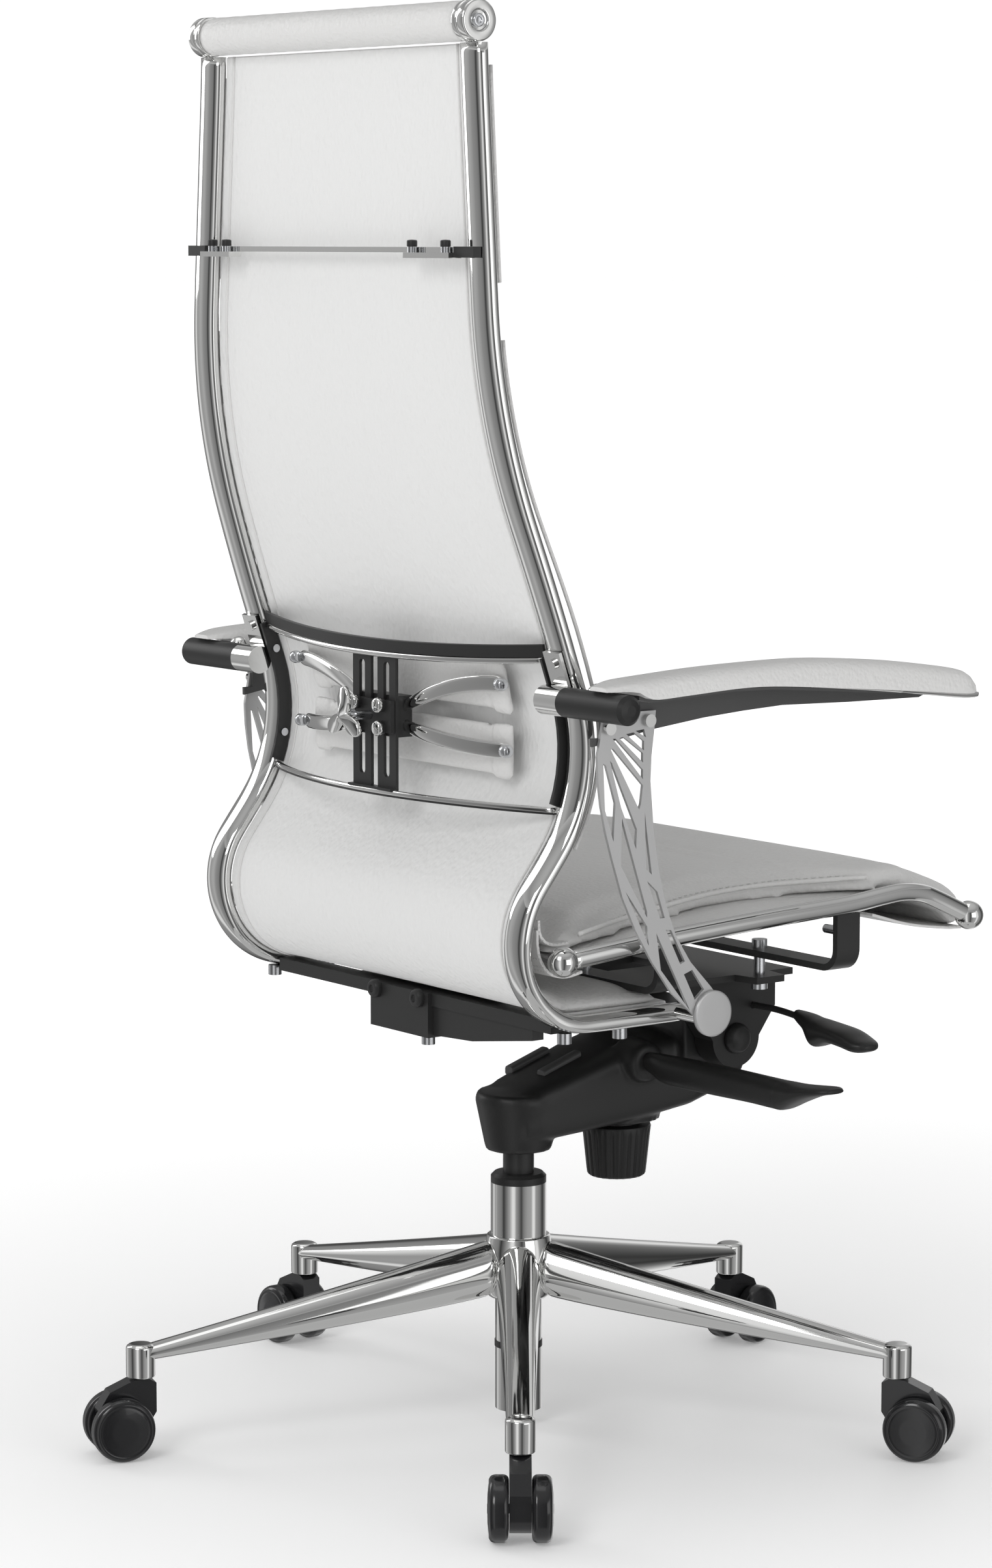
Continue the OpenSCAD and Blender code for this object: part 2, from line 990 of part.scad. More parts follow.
star_base();
column_tube();
guide_bush();
thrust_bearing();
piston_rod();
gas_cylinder();
mechanism_housing();
tilt_spring();
pivot_pin();
tension_knob();
tension_screw();
height_lever();
lock_rod();
lock_paddle();
top_plate();
pivot_ears();
front_strap();
rear_strap();
strap_bolts();
seat_tube_left();
seat_tube_right();
seat_cushion();
back_tube_left();
back_tube_right();
back_panel();
head_pad();
back_pad();
head_roller();
roller_caps();
upper_bar();
upper_bar_blocks();
lower_bar();
lower_bracket();
frame_screws();
lumbar_rails();
lumbar_strips();
lumbar_guides();
arm_clamps();
arm_sleeves();
arm_web_left();
arm_web_right();
side_plate_left();
side_plate_right();
arm_pad_left();
arm_pad_right();
arm_bolts();
lumbar_slider();
lumbar_arms();
lumbar_pads();
lumbar_knob();
caster_body_1();
caster_body_2();
caster_body_3();
caster_body_4();
caster_body_5();
caster_wheels_1();
caster_wheels_2();
caster_wheels_3();
caster_wheels_4();
caster_wheels_5();
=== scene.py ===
import json
import math

import bmesh
import bpy
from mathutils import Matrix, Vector
from mathutils.bvhtree import BVHTree


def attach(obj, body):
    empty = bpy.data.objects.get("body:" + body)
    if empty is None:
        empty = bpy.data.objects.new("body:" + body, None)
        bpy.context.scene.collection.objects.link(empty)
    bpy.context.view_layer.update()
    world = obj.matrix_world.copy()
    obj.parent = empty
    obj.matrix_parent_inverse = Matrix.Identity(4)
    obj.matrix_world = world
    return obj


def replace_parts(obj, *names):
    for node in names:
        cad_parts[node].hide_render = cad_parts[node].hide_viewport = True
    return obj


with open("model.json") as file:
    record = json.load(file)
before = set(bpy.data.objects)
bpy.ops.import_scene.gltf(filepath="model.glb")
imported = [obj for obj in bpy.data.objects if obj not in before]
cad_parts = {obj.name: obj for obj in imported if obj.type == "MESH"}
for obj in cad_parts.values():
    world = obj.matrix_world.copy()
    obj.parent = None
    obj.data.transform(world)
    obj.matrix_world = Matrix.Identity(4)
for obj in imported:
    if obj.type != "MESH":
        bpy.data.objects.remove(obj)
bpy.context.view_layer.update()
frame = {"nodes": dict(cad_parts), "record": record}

# ---------------- materials


def sock(node, name, value):
    node.inputs[name].default_value = value


def add_node(tree, kind, **sockets):
    """A new shader node. Socket names are written with an underscore for each blank."""
    node = tree.nodes.new("ShaderNode" + kind)
    for name, value in sockets.items():
        sock(node, name.replace("_", " "), value)
    return node


def hide_height(tree, place, scale, upright):
    """Crinkled hide: cell borders broken up by a noise. upright below 1 draws the grain out along Z."""
    warp = add_node(tree, "Mapping", Scale=(1.0, 1.0, upright))
    tree.links.new(place, warp.inputs["Vector"])
    cells = add_node(tree, "TexVoronoi")
    cells.feature = "SMOOTH_F1"
    sock(cells, "Scale", scale)
    crinkle = add_node(tree, "TexNoise", Scale=scale * 0.55, Detail=5.0)
    both = add_node(tree, "Math")
    both.operation = "ADD"
    for node in (cells, crinkle):
        tree.links.new(warp.outputs["Vector"], node.inputs["Vector"])
    tree.links.new(cells.outputs["Distance"], both.inputs[0])
    tree.links.new(crinkle.outputs["Fac"], both.inputs[1])
    return both.outputs[0]


def noise_height(tree, place, scale):
    noise = add_node(tree, "TexNoise", Scale=scale, Detail=3.0)
    tree.links.new(place, noise.inputs["Vector"])
    return noise.outputs["Fac"]


def hole_height(tree, place, scale):
    """Punched holes on a square grid."""
    grid = add_node(tree, "TexVoronoi", Scale=scale, Randomness=0.0)
    tree.links.new(place, grid.inputs["Vector"])
    dots = add_node(tree, "MapRange", From_Min=0.12, From_Max=0.26)
    tree.links.new(grid.outputs["Distance"], dots.inputs["Value"])
    return dots.outputs["Result"]


HEIGHTS = {
    "grain": lambda tree, place, scale: hide_height(tree, place, scale, 0.55),
    "pebble": lambda tree, place, scale: hide_height(tree, place, scale, 1.0),
    "noise": noise_height,
    "holes": hole_height,
}


def material(name, color, rough, metal=0.0, coat=0.0, sheen=0.0, bump=None, spec=0.5, mottle=0.0):
    """A principled material. bump is (kind, scale, strength, distance); mottle varies the roughness."""
    m = bpy.data.materials.new(name)
    m.use_nodes = True
    tree = m.node_tree
    shader = tree.nodes["Principled BSDF"]
    sock(shader, "Base Color", (*color, 1))
    sock(shader, "Roughness", rough)
    sock(shader, "Metallic", metal)
    sock(shader, "Coat Weight", coat)
    sock(shader, "Sheen Weight", sheen)
    sock(shader, "Specular IOR Level", spec)
    if bump or mottle:
        place = add_node(tree, "TexCoord").outputs["Object"]
    if mottle:
        clouds = add_node(tree, "TexNoise", Scale=9.0, Detail=4.0)
        tree.links.new(place, clouds.inputs["Vector"])
        spread = add_node(tree, "MapRange", To_Min=max(0.0, rough - mottle), To_Max=rough + mottle)
        tree.links.new(clouds.outputs["Fac"], spread.inputs["Value"])
        tree.links.new(spread.outputs["Result"], shader.inputs["Roughness"])
    if bump:
        kind, scale, strength, distance = bump
        relief = add_node(tree, "Bump", Strength=strength, Distance=distance)
        tree.links.new(HEIGHTS[kind](tree, place, scale), relief.inputs["Height"])
        tree.links.new(relief.outputs["Normal"], shader.inputs["Normal"])
    return m


MATS = {"chrome": material("chrome", (0.80, 0.80, 0.79), 0.05, 1.0),
        "base_metal": material("base_metal", (0.80, 0.80, 0.79), 0.08, 1.0, mottle=0.02),
        "satin_metal": material("satin_metal", (0.52, 0.52, 0.52), 0.36, 0.7,
                                bump=("noise", 700, 0.05, 0.0003)),
        "bolt_steel": material("bolt_steel", (0.66, 0.67, 0.69), 0.2, 1.0),
        "black_metal": material("black_metal", (0.022, 0.022, 0.022), 0.36, spec=0.35,
                                bump=("noise", 900, 0.08, 0.0003)),
        "grey_web": material("grey_web", (0.055, 0.055, 0.055), 0.38, bump=("noise", 1100, 0.05, 0.0003)),
        "black_plastic": material("black_plastic", (0.014, 0.014, 0.014), 0.40, spec=0.4,
                                  bump=("noise", 1300, 0.12, 0.0003)),
        "gloss_black": material("gloss_black", (0.010, 0.010, 0.011), 0.2, coat=0.3),
        "white_leather": material("white_leather", (0.60, 0.597, 0.59), 0.44,
                                  bump=("pebble", 330, 0.6, 0.0010), spec=0.4),
        "white_fabric": material("white_fabric", (0.66, 0.66, 0.655), 0.62, sheen=0.1,
                                 bump=("grain", 260, 0.7, 0.0011), spec=0.3),}
PERFORATED = material("perforated", (0.60, 0.597, 0.59), 0.46, bump=("holes", 260, 0.9, 0.0008), spec=0.4)
STITCH = material("stitch", (0.62, 0.62, 0.61), 0.6)

for row in frame["record"]["subparts"]:
    o = frame["nodes"][row["node"]]
    o.data.materials.clear()
    o.data.materials.append(MATS[row["material_slot"]])


def round_edges(o, width, segments, angle):
    """Adds a bevel to the edges sharper than angle, in degrees."""
    m = o.modifiers.new("round", "BEVEL")
    m.width = width
    m.segments = segments
    m.limit_method = "ANGLE"
    m.angle_limit = math.radians(angle)
    m.harden_normals = True


def shade_smooth(mesh):
    for p in mesh.polygons:
        p.use_smooth = True


def bevel_node(name, width, segments=3, angle=35):
    """Rounds the edges of a CAD node for the picture."""
    o = frame["nodes"][name]
    round_edges(o, width, segments, angle)
    shade_smooth(o.data)


# ---------------- mesh helpers


def link(name, data):
    o = bpy.data.objects.new(name, data)
    bpy.context.scene.collection.objects.link(o)
    return o


def finish_mesh(name, verts, faces, slot, body, auto=None):
    """A piece of a material slot that rides on a body; auto is the width of its edge rounding."""
    me = bpy.data.meshes.new(name)
    me.from_pydata([tuple(v) for v in verts], [], faces)
    me.validate()
    bm = bmesh.new()
    bm.from_mesh(me)
    bmesh.ops.recalc_face_normals(bm, faces=bm.faces)
    bm.to_mesh(me)
    bm.free()
    o = link(name, me)
    me.materials.append(MATS[slot])
    shade_smooth(me)
    if auto:
        round_edges(o, auto, 3, 38)
    if body:
        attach(o, body)
    return o


def loft(name, rings, slot, body, auto=None):
    """Joins closed rings of equal length into one skin with a cap at each end."""
    n = len(rings[0])
    verts = [p for r in rings for p in r]
    faces = []
    for i in range(len(rings) - 1):
        for k in range(n):
            a, b = i * n + k, i * n + (k + 1) % n
            faces.append((a, b, b + n, a + n))
    faces.append(tuple(range(n))[::-1])
    faces.append(tuple(range((len(rings) - 1) * n, len(rings) * n)))
    return finish_mesh(name, verts, faces, slot, body, auto=auto)


def squarish(a, b, n=40, p=4.0):
    """n points of a superellipse with half sizes a and b; the power p squares it off."""
    out = []
    for k in range(n):
        t = 2 * math.pi * (k + 0.5) / n
        c, q = math.cos(t), math.sin(t)
        out.append((a * math.copysign(abs(c) ** (2 / p), c), b * math.copysign(abs(q) ** (2 / p), q)))
    return out


def circle(r, n):
    """n points of a circle about (0, 0)."""
    return [(r * math.cos(2 * math.pi * k / n), r * math.sin(2 * math.pi * k / n)) for k in range(n)]


def tube_along(name, pts, r, slot, body, n):
    """A round rod through points, with a parallel-carried frame."""
    pts = [Vector(p) for p in pts]
    rings = []
    side = None
    for i, p in enumerate(pts):
        d = (pts[min(i + 1, len(pts) - 1)] - pts[max(i - 1, 0)]).normalized()
        if side is None:
            side = d.orthogonal().normalized()
        side = (side - d * side.dot(d)).normalized()
        up = d.cross(side)
        rings.append([p + side * a + up * b for a, b in circle(r, n)])
    return loft(name, rings, slot, body)


def smooth_path(pts, per):
    """A Catmull-Rom curve through a list of points, with per steps from each to the next."""
    pts = [Vector(p) for p in pts]
    q = [2 * pts[0] - pts[1]] + pts + [2 * pts[-1] - pts[-2]]
    out = []
    for i in range(1, len(q) - 2):
        for k in range(per):
            t = k / per
            a, b, c, d = q[i - 1], q[i], q[i + 1], q[i + 2]
            square, cube = 2 * a - 5 * b + 4 * c - d, 3 * b - a - 3 * c + d
            out.append(0.5 * ((2 * b) + (c - a) * t + square * t * t + cube * t ** 3))
    return out + [pts[-1]]


def lathe(name, profile, at, axis, slot, body, n):
    """Turns (radius, height) points about an axis through at."""
    axis = Vector(axis).normalized()
    u = axis.orthogonal().normalized()
    v = axis.cross(u)
    at = Vector(at)
    rings = [[at + axis * h + u * a + v * b for a, b in circle(max(r, 1e-5), n)] for r, h in profile]
    return loft(name, rings, slot, body)


def rounded(profile, r, n=4):
    """Rounds all corners between the ends of an open line of (a, b) points."""
    out = [profile[0]]
    for i in range(1, len(profile) - 1):
        p0, p1, p2 = (Vector(profile[j]) for j in (i - 1, i, i + 1))
        d0, d1 = p0 - p1, p2 - p1
        k = min(r, d0.length / 2.1, d1.length / 2.1)
        a, b = p1 + d0.normalized() * k, p1 + d1.normalized() * k
        for j in range(n + 1):
            t = j / n
            out.append(tuple((1 - t) ** 2 * a + 2 * t * (1 - t) * p1 + t * t * b))
    return out + [profile[-1]]


def bake(o):
    """Applies every modifier of a piece to its mesh."""
    dg = bpy.context.evaluated_depsgraph_get()
    me = bpy.data.meshes.new_from_object(o.evaluated_get(dg), depsgraph=dg)
    o.modifiers.clear()
    o.data = me
    shade_smooth(me)


CLOTH_FRAMES = 20


def blown_up(o, fixed, cap, pressure):
    """Runs the cloth simulation on a piece and keeps its result, with each point's move cut off at cap."""
    start = [v.co.copy() for v in o.data.vertices]
    held = o.vertex_groups.new(name="held")
    held.add([v.index for v in o.data.vertices if fixed(v.co)], 1.0, "REPLACE")
    cloth = o.modifiers.new("cloth", "CLOTH")
    st = cloth.settings
    st.quality = 4
    st.mass = 0.3
    st.tension_stiffness = st.compression_stiffness = 15
    st.shear_stiffness = 5
    st.bending_stiffness = 0.5
    st.use_pressure = True
    st.uniform_pressure_force = pressure
    st.vertex_group_mass = "held"
    st.effector_weights.gravity = 0
    cloth.point_cache.frame_end = CLOTH_FRAMES
    for frame_no in range(1, CLOTH_FRAMES + 1):
        bpy.context.scene.frame_set(frame_no)
    bake(o)
    bpy.context.scene.frame_set(1)
    for v, a in zip(o.data.vertices, start):
        d = v.co - a
        if d.length > cap:
            v.co = a + d * (cap / d.length)
    o.vertex_groups.clear()


def stuffed(o, voxel, cap, fixed, shape=None, pressure=4.0):
    """Blows a closed piece up as cloth. Points where fixed(co) is true stay, others move at most cap.

    shape(co) returns the move that presses seams and channels in afterwards.
    """
    m = o.modifiers.new("even", "REMESH")
    m.mode = "VOXEL"
    m.voxel_size = voxel
    bake(o)
    blown_up(o, fixed, cap, pressure)
    m = o.modifiers.new("even_out", "SMOOTH")
    m.factor = 0.5
    m.iterations = 5
    bake(o)
    m = o.modifiers.new("fine", "SUBSURF")
    m.levels = m.render_levels = 1
    bake(o)
    if shape:
        for v in o.data.vertices:
            v.co += shape(v.co)


def between(points, x):
    """Value at x on eased steps through (x, value) points with x rising."""
    if x <= points[0][0]:
        return points[0][1]
    for (x0, v0), (x1, v1) in zip(points, points[1:]):
        if x <= x1:
            t = (x - x0) / (x1 - x0)
            return v0 + (v1 - v0) * t * t * (3 - 2 * t)
    return points[-1][1]


def dent(distance, width):
    """Depth factor of a sewn channel at a distance from its line."""
    return math.exp(-(distance / width) ** 2)


# ---------------- back line

# Legs of the back tube from the top down: stations, length or bend radius in mm, turn in degrees.
LEGS = [(24, 212.4, 0), (40, 572, 19.1), (16, 143.4, 0), (40, 140, -57.1), (8, 33.6, 0), (64, 74.7, 128),
        (12, 100, 0)]
LINE_START = (191.5, 1222.4)


def back_line():
    """The back tube's centre line: rows of y, z, heading in radians and length so far, in metres."""
    y, z, a, s = *LINE_START, 0.0, 0.0
    out = [(y, z, a, s)]
    for n, size, turn in LEGS:
        da = math.radians(turn) / n
        step = size / n if turn == 0 else 2 * size * math.sin(abs(da) / 2)
        for _ in range(n):
            y -= step * math.sin(a + da / 2)
            z -= step * math.cos(a + da / 2)
            a += da
            s += step
            out.append((y, z, a, s))
    for _ in range(10):
        inner = [tuple((a + 2 * b + c) / 4 for a, b, c in zip(*out[i - 1:i + 2]))
                 for i in range(1, len(out) - 1)]
        out = [out[0]] + inner + [out[-1]]
    return [(p / 1000, q / 1000, h, t / 1000) for p, q, h, t in out]


# Half the distance between the tubes' centre lines, by height.
GAP = [(0.408, 0.220), (0.457, 0.225), (0.520, 0.228), (0.780, 0.2255), (0.830, 0.2215), (1.010, 0.2075),
       (1.230, 0.192)]


def half_gap(z):
    if z <= GAP[0][0]:
        return GAP[0][1]
    for (z0, g0), (z1, g1) in zip(GAP, GAP[1:]):
        if z <= z1:
            return g0 + (g1 - g0) * (z - z0) / (z1 - z0)
    return GAP[-1][1]


def smooth_gap(z):
    return sum(half_gap(z + d * 0.02) for d in (-2, -1, 0, 1, 2)) / 5


LINE = back_line()


def off(i, d):
    """(y, z) of station i moved to the rear by d metres."""
    y, z, a, _ = LINE[i]
    return y + d * math.cos(a), z - d * math.sin(a)


# ---------------- back tubes, panel, roller

SIDES = ((1, "left"), (-1, "right"))
TUBE_HALF = (0.015, 0.0075)

for s, side in SIDES:
    rings = []
    for y, z, a, _ in LINE:
        x = s * smooth_gap(z)
        section = squarish(*TUBE_HALF, 48, 2.5)
        rings.append([(x + u, y + v * math.cos(a), z - v * math.sin(a)) for u, v in section])
    t = loft("tube_" + side, rings, "chrome", "seat_back")
    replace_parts(t, "back_tube_" + side)

CLOTH_DEPTH, CLOTH_THICK, CLOTH_INSET, CLOTH_SAG = -0.0055, 0.0038, 0.0148, 0.0012


def back_cloth(across=40):
    """The cloth skin between the tubes."""
    rings = []
    there, back = range(across + 1), range(across, -1, -1)
    for i in range(len(LINE)):
        w = smooth_gap(LINE[i][1]) - CLOTH_INSET
        row = []
        for d, order in ((CLOTH_DEPTH - CLOTH_THICK / 2, there), (CLOTH_DEPTH + CLOTH_THICK / 2, back)):
            for k in order:
                u = 2 * k / across - 1
                y, z = off(i, d - CLOTH_SAG * (1 - u ** 4))
                row.append((u * w, y, z))
        rings.append(row)
    return loft("back_cloth", rings, "white_fabric", "seat_back", auto=0.0015)


def cloth_width(z):
    return 2 * (smooth_gap(z) - CLOTH_INSET)


cloth_back = back_cloth()
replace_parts(cloth_back, "back_panel")
cloth_area = sum(cloth_width((a[1] + b[1]) / 2) * (b[3] - a[3]) for a, b in zip(LINE, LINE[1:]))

PIPING_INSET, PIPING_DEPTH, PIPING_R = 0.0275, -0.0037, 0.0013
for s, side in SIDES[::-1]:
    pts = []
    for i in range(0, len(LINE) - 6, 2):
        y, z = off(i, PIPING_DEPTH)
        pts.append((s * (smooth_gap(LINE[i][1]) - PIPING_INSET), y, z))
    tube_along("piping_" + side, pts, PIPING_R, "white_leather", "seat_back", n=8)

PAD_REAR = -0.0083


def pad_form(name, i0, i1, front, wide=0.0008, blunt=16):
    """A leather pad in front of the cloth between two stations; front(z) is the depth of its face."""
    n = 40
    rings = []
    for i in list(range(i0, i1, 2)) + [i1]:
        z = LINE[i][1]
        w = smooth_gap(z) + wide
        t = 2 * (i - i0) / (i1 - i0) - 1
        deep = (front(z) - PAD_REAR) * max(0.3, (1 - abs(t) ** blunt) ** 0.5)
        ring = [(2 * k / n - 1, PAD_REAR + deep * (1 - abs(2 * k / n - 1) ** 14) ** 0.45)
                for k in range(n + 1)]
        ring += [(u, PAD_REAR) for u, _ in ring[-2:0:-1]]
        rings.append([(u * w, *off(i, d)) for u, d in ring])
    return loft(name, rings, "white_leather", "seat_back")


def depth_of(co):
    """Depth of a point behind the back line, and the index of its station."""
    i = min(range(0, 130, 2), key=lambda k: (LINE[k][0] - co.y) ** 2 + (LINE[k][1] - co.z) ** 2)
    y, z, a, _ = LINE[i]
    return (co.y - y) * math.cos(a) - (co.z - z) * math.sin(a), i


def rear_skin(co):
    """True on the sewn rear of a pad, which the simulation holds."""
    return depth_of(co)[0] > -0.0105


def head_front(z):
    return -0.0200


def back_front(z):
    """Depth of the back cushion's face, fuller across the lumbar zone."""
    return -0.0200 - 0.0100 * math.exp(-((z - 0.725) / 0.09) ** 2)


RIB_TOP, RIB_LOW, RIB_STEP = 0.845, 0.605, 0.030
SEAM_AT, SEAM_DEEP, SEAM_WIDE = 0.70, 0.0032, 0.0045
RIB_DEEP, RIB_WIDE = 0.0026, 0.0042


def back_channels(co):
    """Two long side seams, and level channels across the lumbar zone between them."""
    d, i = depth_of(co)
    if d > -0.0115:
        return Vector()
    a = LINE[i][2]
    w = smooth_gap(co.z)
    seam = w * SEAM_AT
    push = SEAM_DEEP * dent(abs(co.x) - seam, SEAM_WIDE)
    if abs(co.x) < seam and RIB_LOW - 0.02 < co.z < RIB_TOP + 0.02:
        k = (co.z - RIB_LOW) / RIB_STEP
        push += RIB_DEEP * dent((k - round(k)) * RIB_STEP, RIB_WIDE) * min(1, (seam - abs(co.x)) / 0.01)
    return Vector((0, math.cos(a), -math.sin(a))) * push


def lining_front(z):
    return between([(0.41, -0.0215), (0.43, -0.0200), (0.46, -0.0160), (0.55, -0.0135)], z)


back_pad = pad_form("back_cushion", 26, 120, back_front)
stuffed(back_pad, 0.0045, 0.004, rear_skin, back_channels)
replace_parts(back_pad, "back_pad")
head_pad = pad_form("head_cushion", 0, 25, head_front)
stuffed(head_pad, 0.0045, 0.003, rear_skin)
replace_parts(head_pad, "head_pad")
lining = pad_form("lower_lining", 122, 203, lining_front, wide=-0.004, blunt=60)
stuffed(lining, 0.005, 0.0015, lambda co: co.z > 0.52)

WELT_OUT, WELT_R = 0.0028, 0.0017
for s, side in SIDES[::-1]:
    for tag, i0, i1, face in (("back", 30, 116, back_front), ("head", 2, 22, head_front)):
        rim = []
        for i in range(i0, i1 + 1, 2):
            z = LINE[i][1]
            y, z2 = off(i, (face(z) + PAD_REAR) / 2)
            rim.append((s * (smooth_gap(z) + WELT_OUT), y, z2))
        tube_along("%s_welt_%s" % (tag, side), rim, WELT_R, "white_leather", "seat_back", n=8)

ROLL_END, ROLL_R, ROLL_AT = 0.188, 0.0165, (0, 0.194, 1.24)


def roller_skin():
    """Leather sleeve with soft ends and a sewn seam along its lower rear."""
    rings = []
    for k in range(61):
        x = ROLL_END * (2 * k / 60 - 1)
        e = (ROLL_END - abs(x)) / 0.004
        r = ROLL_R * (1 - 0.05 * max(0, 1 - e) ** 2) - 0.00012 * math.sin(k * 1.7)
        ring = []
        for j in range(64):
            t = 2 * math.pi * j / 64
            rr = r - 0.0012 * dent((t - 4.2) * ROLL_R, 0.0016)
            ring.append((x, ROLL_AT[1] + rr * math.cos(t), ROLL_AT[2] + rr * math.sin(t)))
        rings.append(ring)
    return loft("roller_skin", rings, "white_leather", "seat_back")


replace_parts(roller_skin(), "head_roller")
caps = []
for s, side in SIDES[::-1]:
    rim = [(0, 0.1882), (0.0170, 0.1882), (0.0172, 0.1890), (0.0172, 0.1935), (0.0166, 0.1940),
           (0.0166, 0.1950), (0.0172, 0.1955), (0.0172, 0.2035), (0.0160, 0.2047), (0.0095, 0.2047),
           (0.0085, 0.2040), (0.0085, 0.2022), (0, 0.2022)]
    rim = rounded(rim, 0.0005, 2)
    caps.append(lathe("roller_cap_" + side, rim, ROLL_AT, (s, 0, 0), "chrome", "seat_back", n=64))
    screw = [(0, 0.2022), (0.0056, 0.2022), (0.0056, 0.2040), (0.0048, 0.2046), (0.0024, 0.2046),
             (0.0024, 0.2032), (0, 0.2032)]
    screw = rounded(screw, 0.0004, 2)
    lathe("roller_screw_" + side, screw, ROLL_AT, (s, 0, 0), "bolt_steel", "seat_back", n=32)
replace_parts(caps[0], "roller_caps")

# ---------------- base and casters

BASE_R, TRAIL, TURN = 0.35, 0.02, math.radians(143.3)
HUB_R = 0.022
WHEEL_Z = 0.028


def spoke(k):
    """Cosine and sine of the heading of base arm k, counted from 1."""
    a = TURN + (k - 1) * math.radians(72)
    return math.cos(a), math.sin(a)


def arm_section(t):
    """Ridge-topped section of a base arm at t from hub (0) to tip (1): (across, up) points."""
    w = 0.0215 + (0.0118 - 0.0215) * t
    top = 0.172 + (0.0975 - 0.172) * t ** 0.96
    low = 0.120 + (0.084 - 0.120) * t ** 0.8
    h = top - low
    pts = [(0.0, top), (w * 0.32, top - 0.0015), (w * 0.62, top - h * 0.10), (w * 0.9, top - h * 0.34),
           (w, top - h * 0.55), (w * 0.86, top - h * 0.72), (w * 0.42, low + h * 0.04), (0.0, low)]
    return pts + [(-a, b) for a, b in pts[-2:0:-1]]


ORIGIN, UP = (0, 0, 0), (0, 0, 1)
SOCKET = rounded([(0.0062, 0.0702), (0.0128, 0.0702), (0.0128, 0.098), (0.0095, 0.1002), (0, 0.1005)], 0.0016)
HUB = rounded([(0.0212, 0.116), (0.0285, 0.118), (0.031, 0.130), (0.031, 0.160), (0.0285, 0.174),
               (0.0253, 0.1745)], 0.004)
COLUMN_RING = rounded([(0.0212, 0.071), (0.0216, 0.071), (0.0216, 0.077), (0.0212, 0.077)], 0.0002)

for k in range(1, 6):
    c, s = spoke(k)
    rings = []
    for i in range(25):
        t = i / 24
        r = HUB_R + (BASE_R + 0.002 - HUB_R) * t
        rings.append([(r * c - u * s, r * s + u * c, z) for u, z in arm_section(t)])
    o = loft("base_arm_%d" % k, rings, "chrome", "base")
    o.modifiers.new("smooth", "SUBSURF").render_levels = 2
    o.modifiers["smooth"].levels = 2
    lathe("base_socket_%d" % k, SOCKET, (BASE_R * c, BASE_R * s, 0), UP, "chrome", "base", n=32)
hub = lathe("base_hub", HUB, ORIGIN, UP, "chrome", "base", n=56)
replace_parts(hub, "star_base")
lathe("column_ring", COLUMN_RING, ORIGIN, UP, "black_plastic", "base", n=48)

for k in range(1, 6):
    c, s = spoke(k)
    hubpt = Vector(((BASE_R + TRAIL) * c, (BASE_R + TRAIL) * s, WHEEL_Z))
    ax = Vector((-s, c, 0))
    made = []
    for side in (-1, 1):
        prof = [(0.0, 0.0098), (0.020, 0.0098), (0.0235, 0.0094), (0.0262, 0.0102), (0.028, 0.0128),
                (0.028, 0.0216), (0.0268, 0.0246), (0.0238, 0.0263), (0.0222, 0.0258), (0.0205, 0.0263),
                (0.012, 0.0272), (0.0, 0.0274)]
        name = "wheel_%d_%s" % (k, "a" if side > 0 else "b")
        wheel = rounded(prof, 0.0012, 3)
        made.append(lathe(name, wheel, hubpt, ax * side, "gloss_black", "wheels_%d" % k, n=56))
    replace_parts(made[0], "caster_wheels_%d" % k)
    bevel_node("caster_body_%d" % k, 0.0016)

for n in ("column_tube", "guide_bush", "gas_cylinder"):
    bevel_node(n, 0.0008)

# ---------------- seat

# (y, z) of the seat side tubes from rear to front.
SEAT_LINE = [(0.1345, 0.4677), (0.060, 0.474), (-0.028, 0.480), (-0.100, 0.484), (-0.175, 0.4872),
             (-0.215, 0.491), (-0.240, 0.4926), (-0.262, 0.490), (-0.280, 0.4835), (-0.317, 0.4664)]
SEAT_X, BALL_R = 0.243, 0.013
BALLS = [(0.137, 0.4676), (-0.320, 0.465)]


def curve(points):
    """A smooth function through (x, value) points; flat outside them."""
    path = [(p.x, p.y) for p in smooth_path([(a, b, 0) for a, b in points], 10)]
    path.sort()

    def at(x):
        if x <= path[0][0]:
            return path[0][1]
        for (x0, v0), (x1, v1) in zip(path, path[1:]):
            if x <= x1:
                return v0 + (v1 - v0) * (x - x0) / (x1 - x0 or 1)
        return path[-1][1]
    return at


tube_z = curve(SEAT_LINE)
seam_x = curve([(0.150, 0.2200), (0.135, 0.2270), (0.112, 0.2275), (0.090, 0.2200), (0.005, 0.1970),
                (-0.080, 0.1810), (-0.143, 0.1880), (-0.192, 0.2130), (-0.216, 0.2320), (-0.250, 0.2330),
                (-0.290, 0.2320), (-0.305, 0.2280)])

for s, side in SIDES:
    path = smooth_path([(s * SEAT_X, y, z) for y, z in SEAT_LINE], 6)
    t = tube_along("side_tube_" + side, path, 0.008, "chrome", "seat_back", n=32)
    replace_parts(t, "seat_tube_" + side)
    angles = [math.radians(a) for a in range(-90, 91, 9)]
    ball = [(BALL_R * math.cos(a), BALL_R * math.sin(a)) for a in angles]
    for end, (y, z) in zip(("rear", "front"), BALLS):
        lathe("%s_ball_%s" % (end, side), ball, (s * SEAT_X, y, z), (s, 0, 0), "chrome", "seat_back", n=40)


def seat_ring(yt, zt, yb, zb, w):
    """A cross ring of the cushion, w to each side, from its top (yt, zt) to its underside (yb, zb)."""
    n = 44
    ring = []
    for k in range(n + 1):
        u = 2 * k / n - 1
        h = (1 - abs(u) ** 30) ** 0.4 * (1 - 0.10 * abs(u) ** 5)
        ring.append((u * w, yb + (yt - yb) * h, zb + (zt - zb) * h))
    return ring + [(2 * k / n * w - w, yb, zb) for k in range(n - 1, 0, -1)]


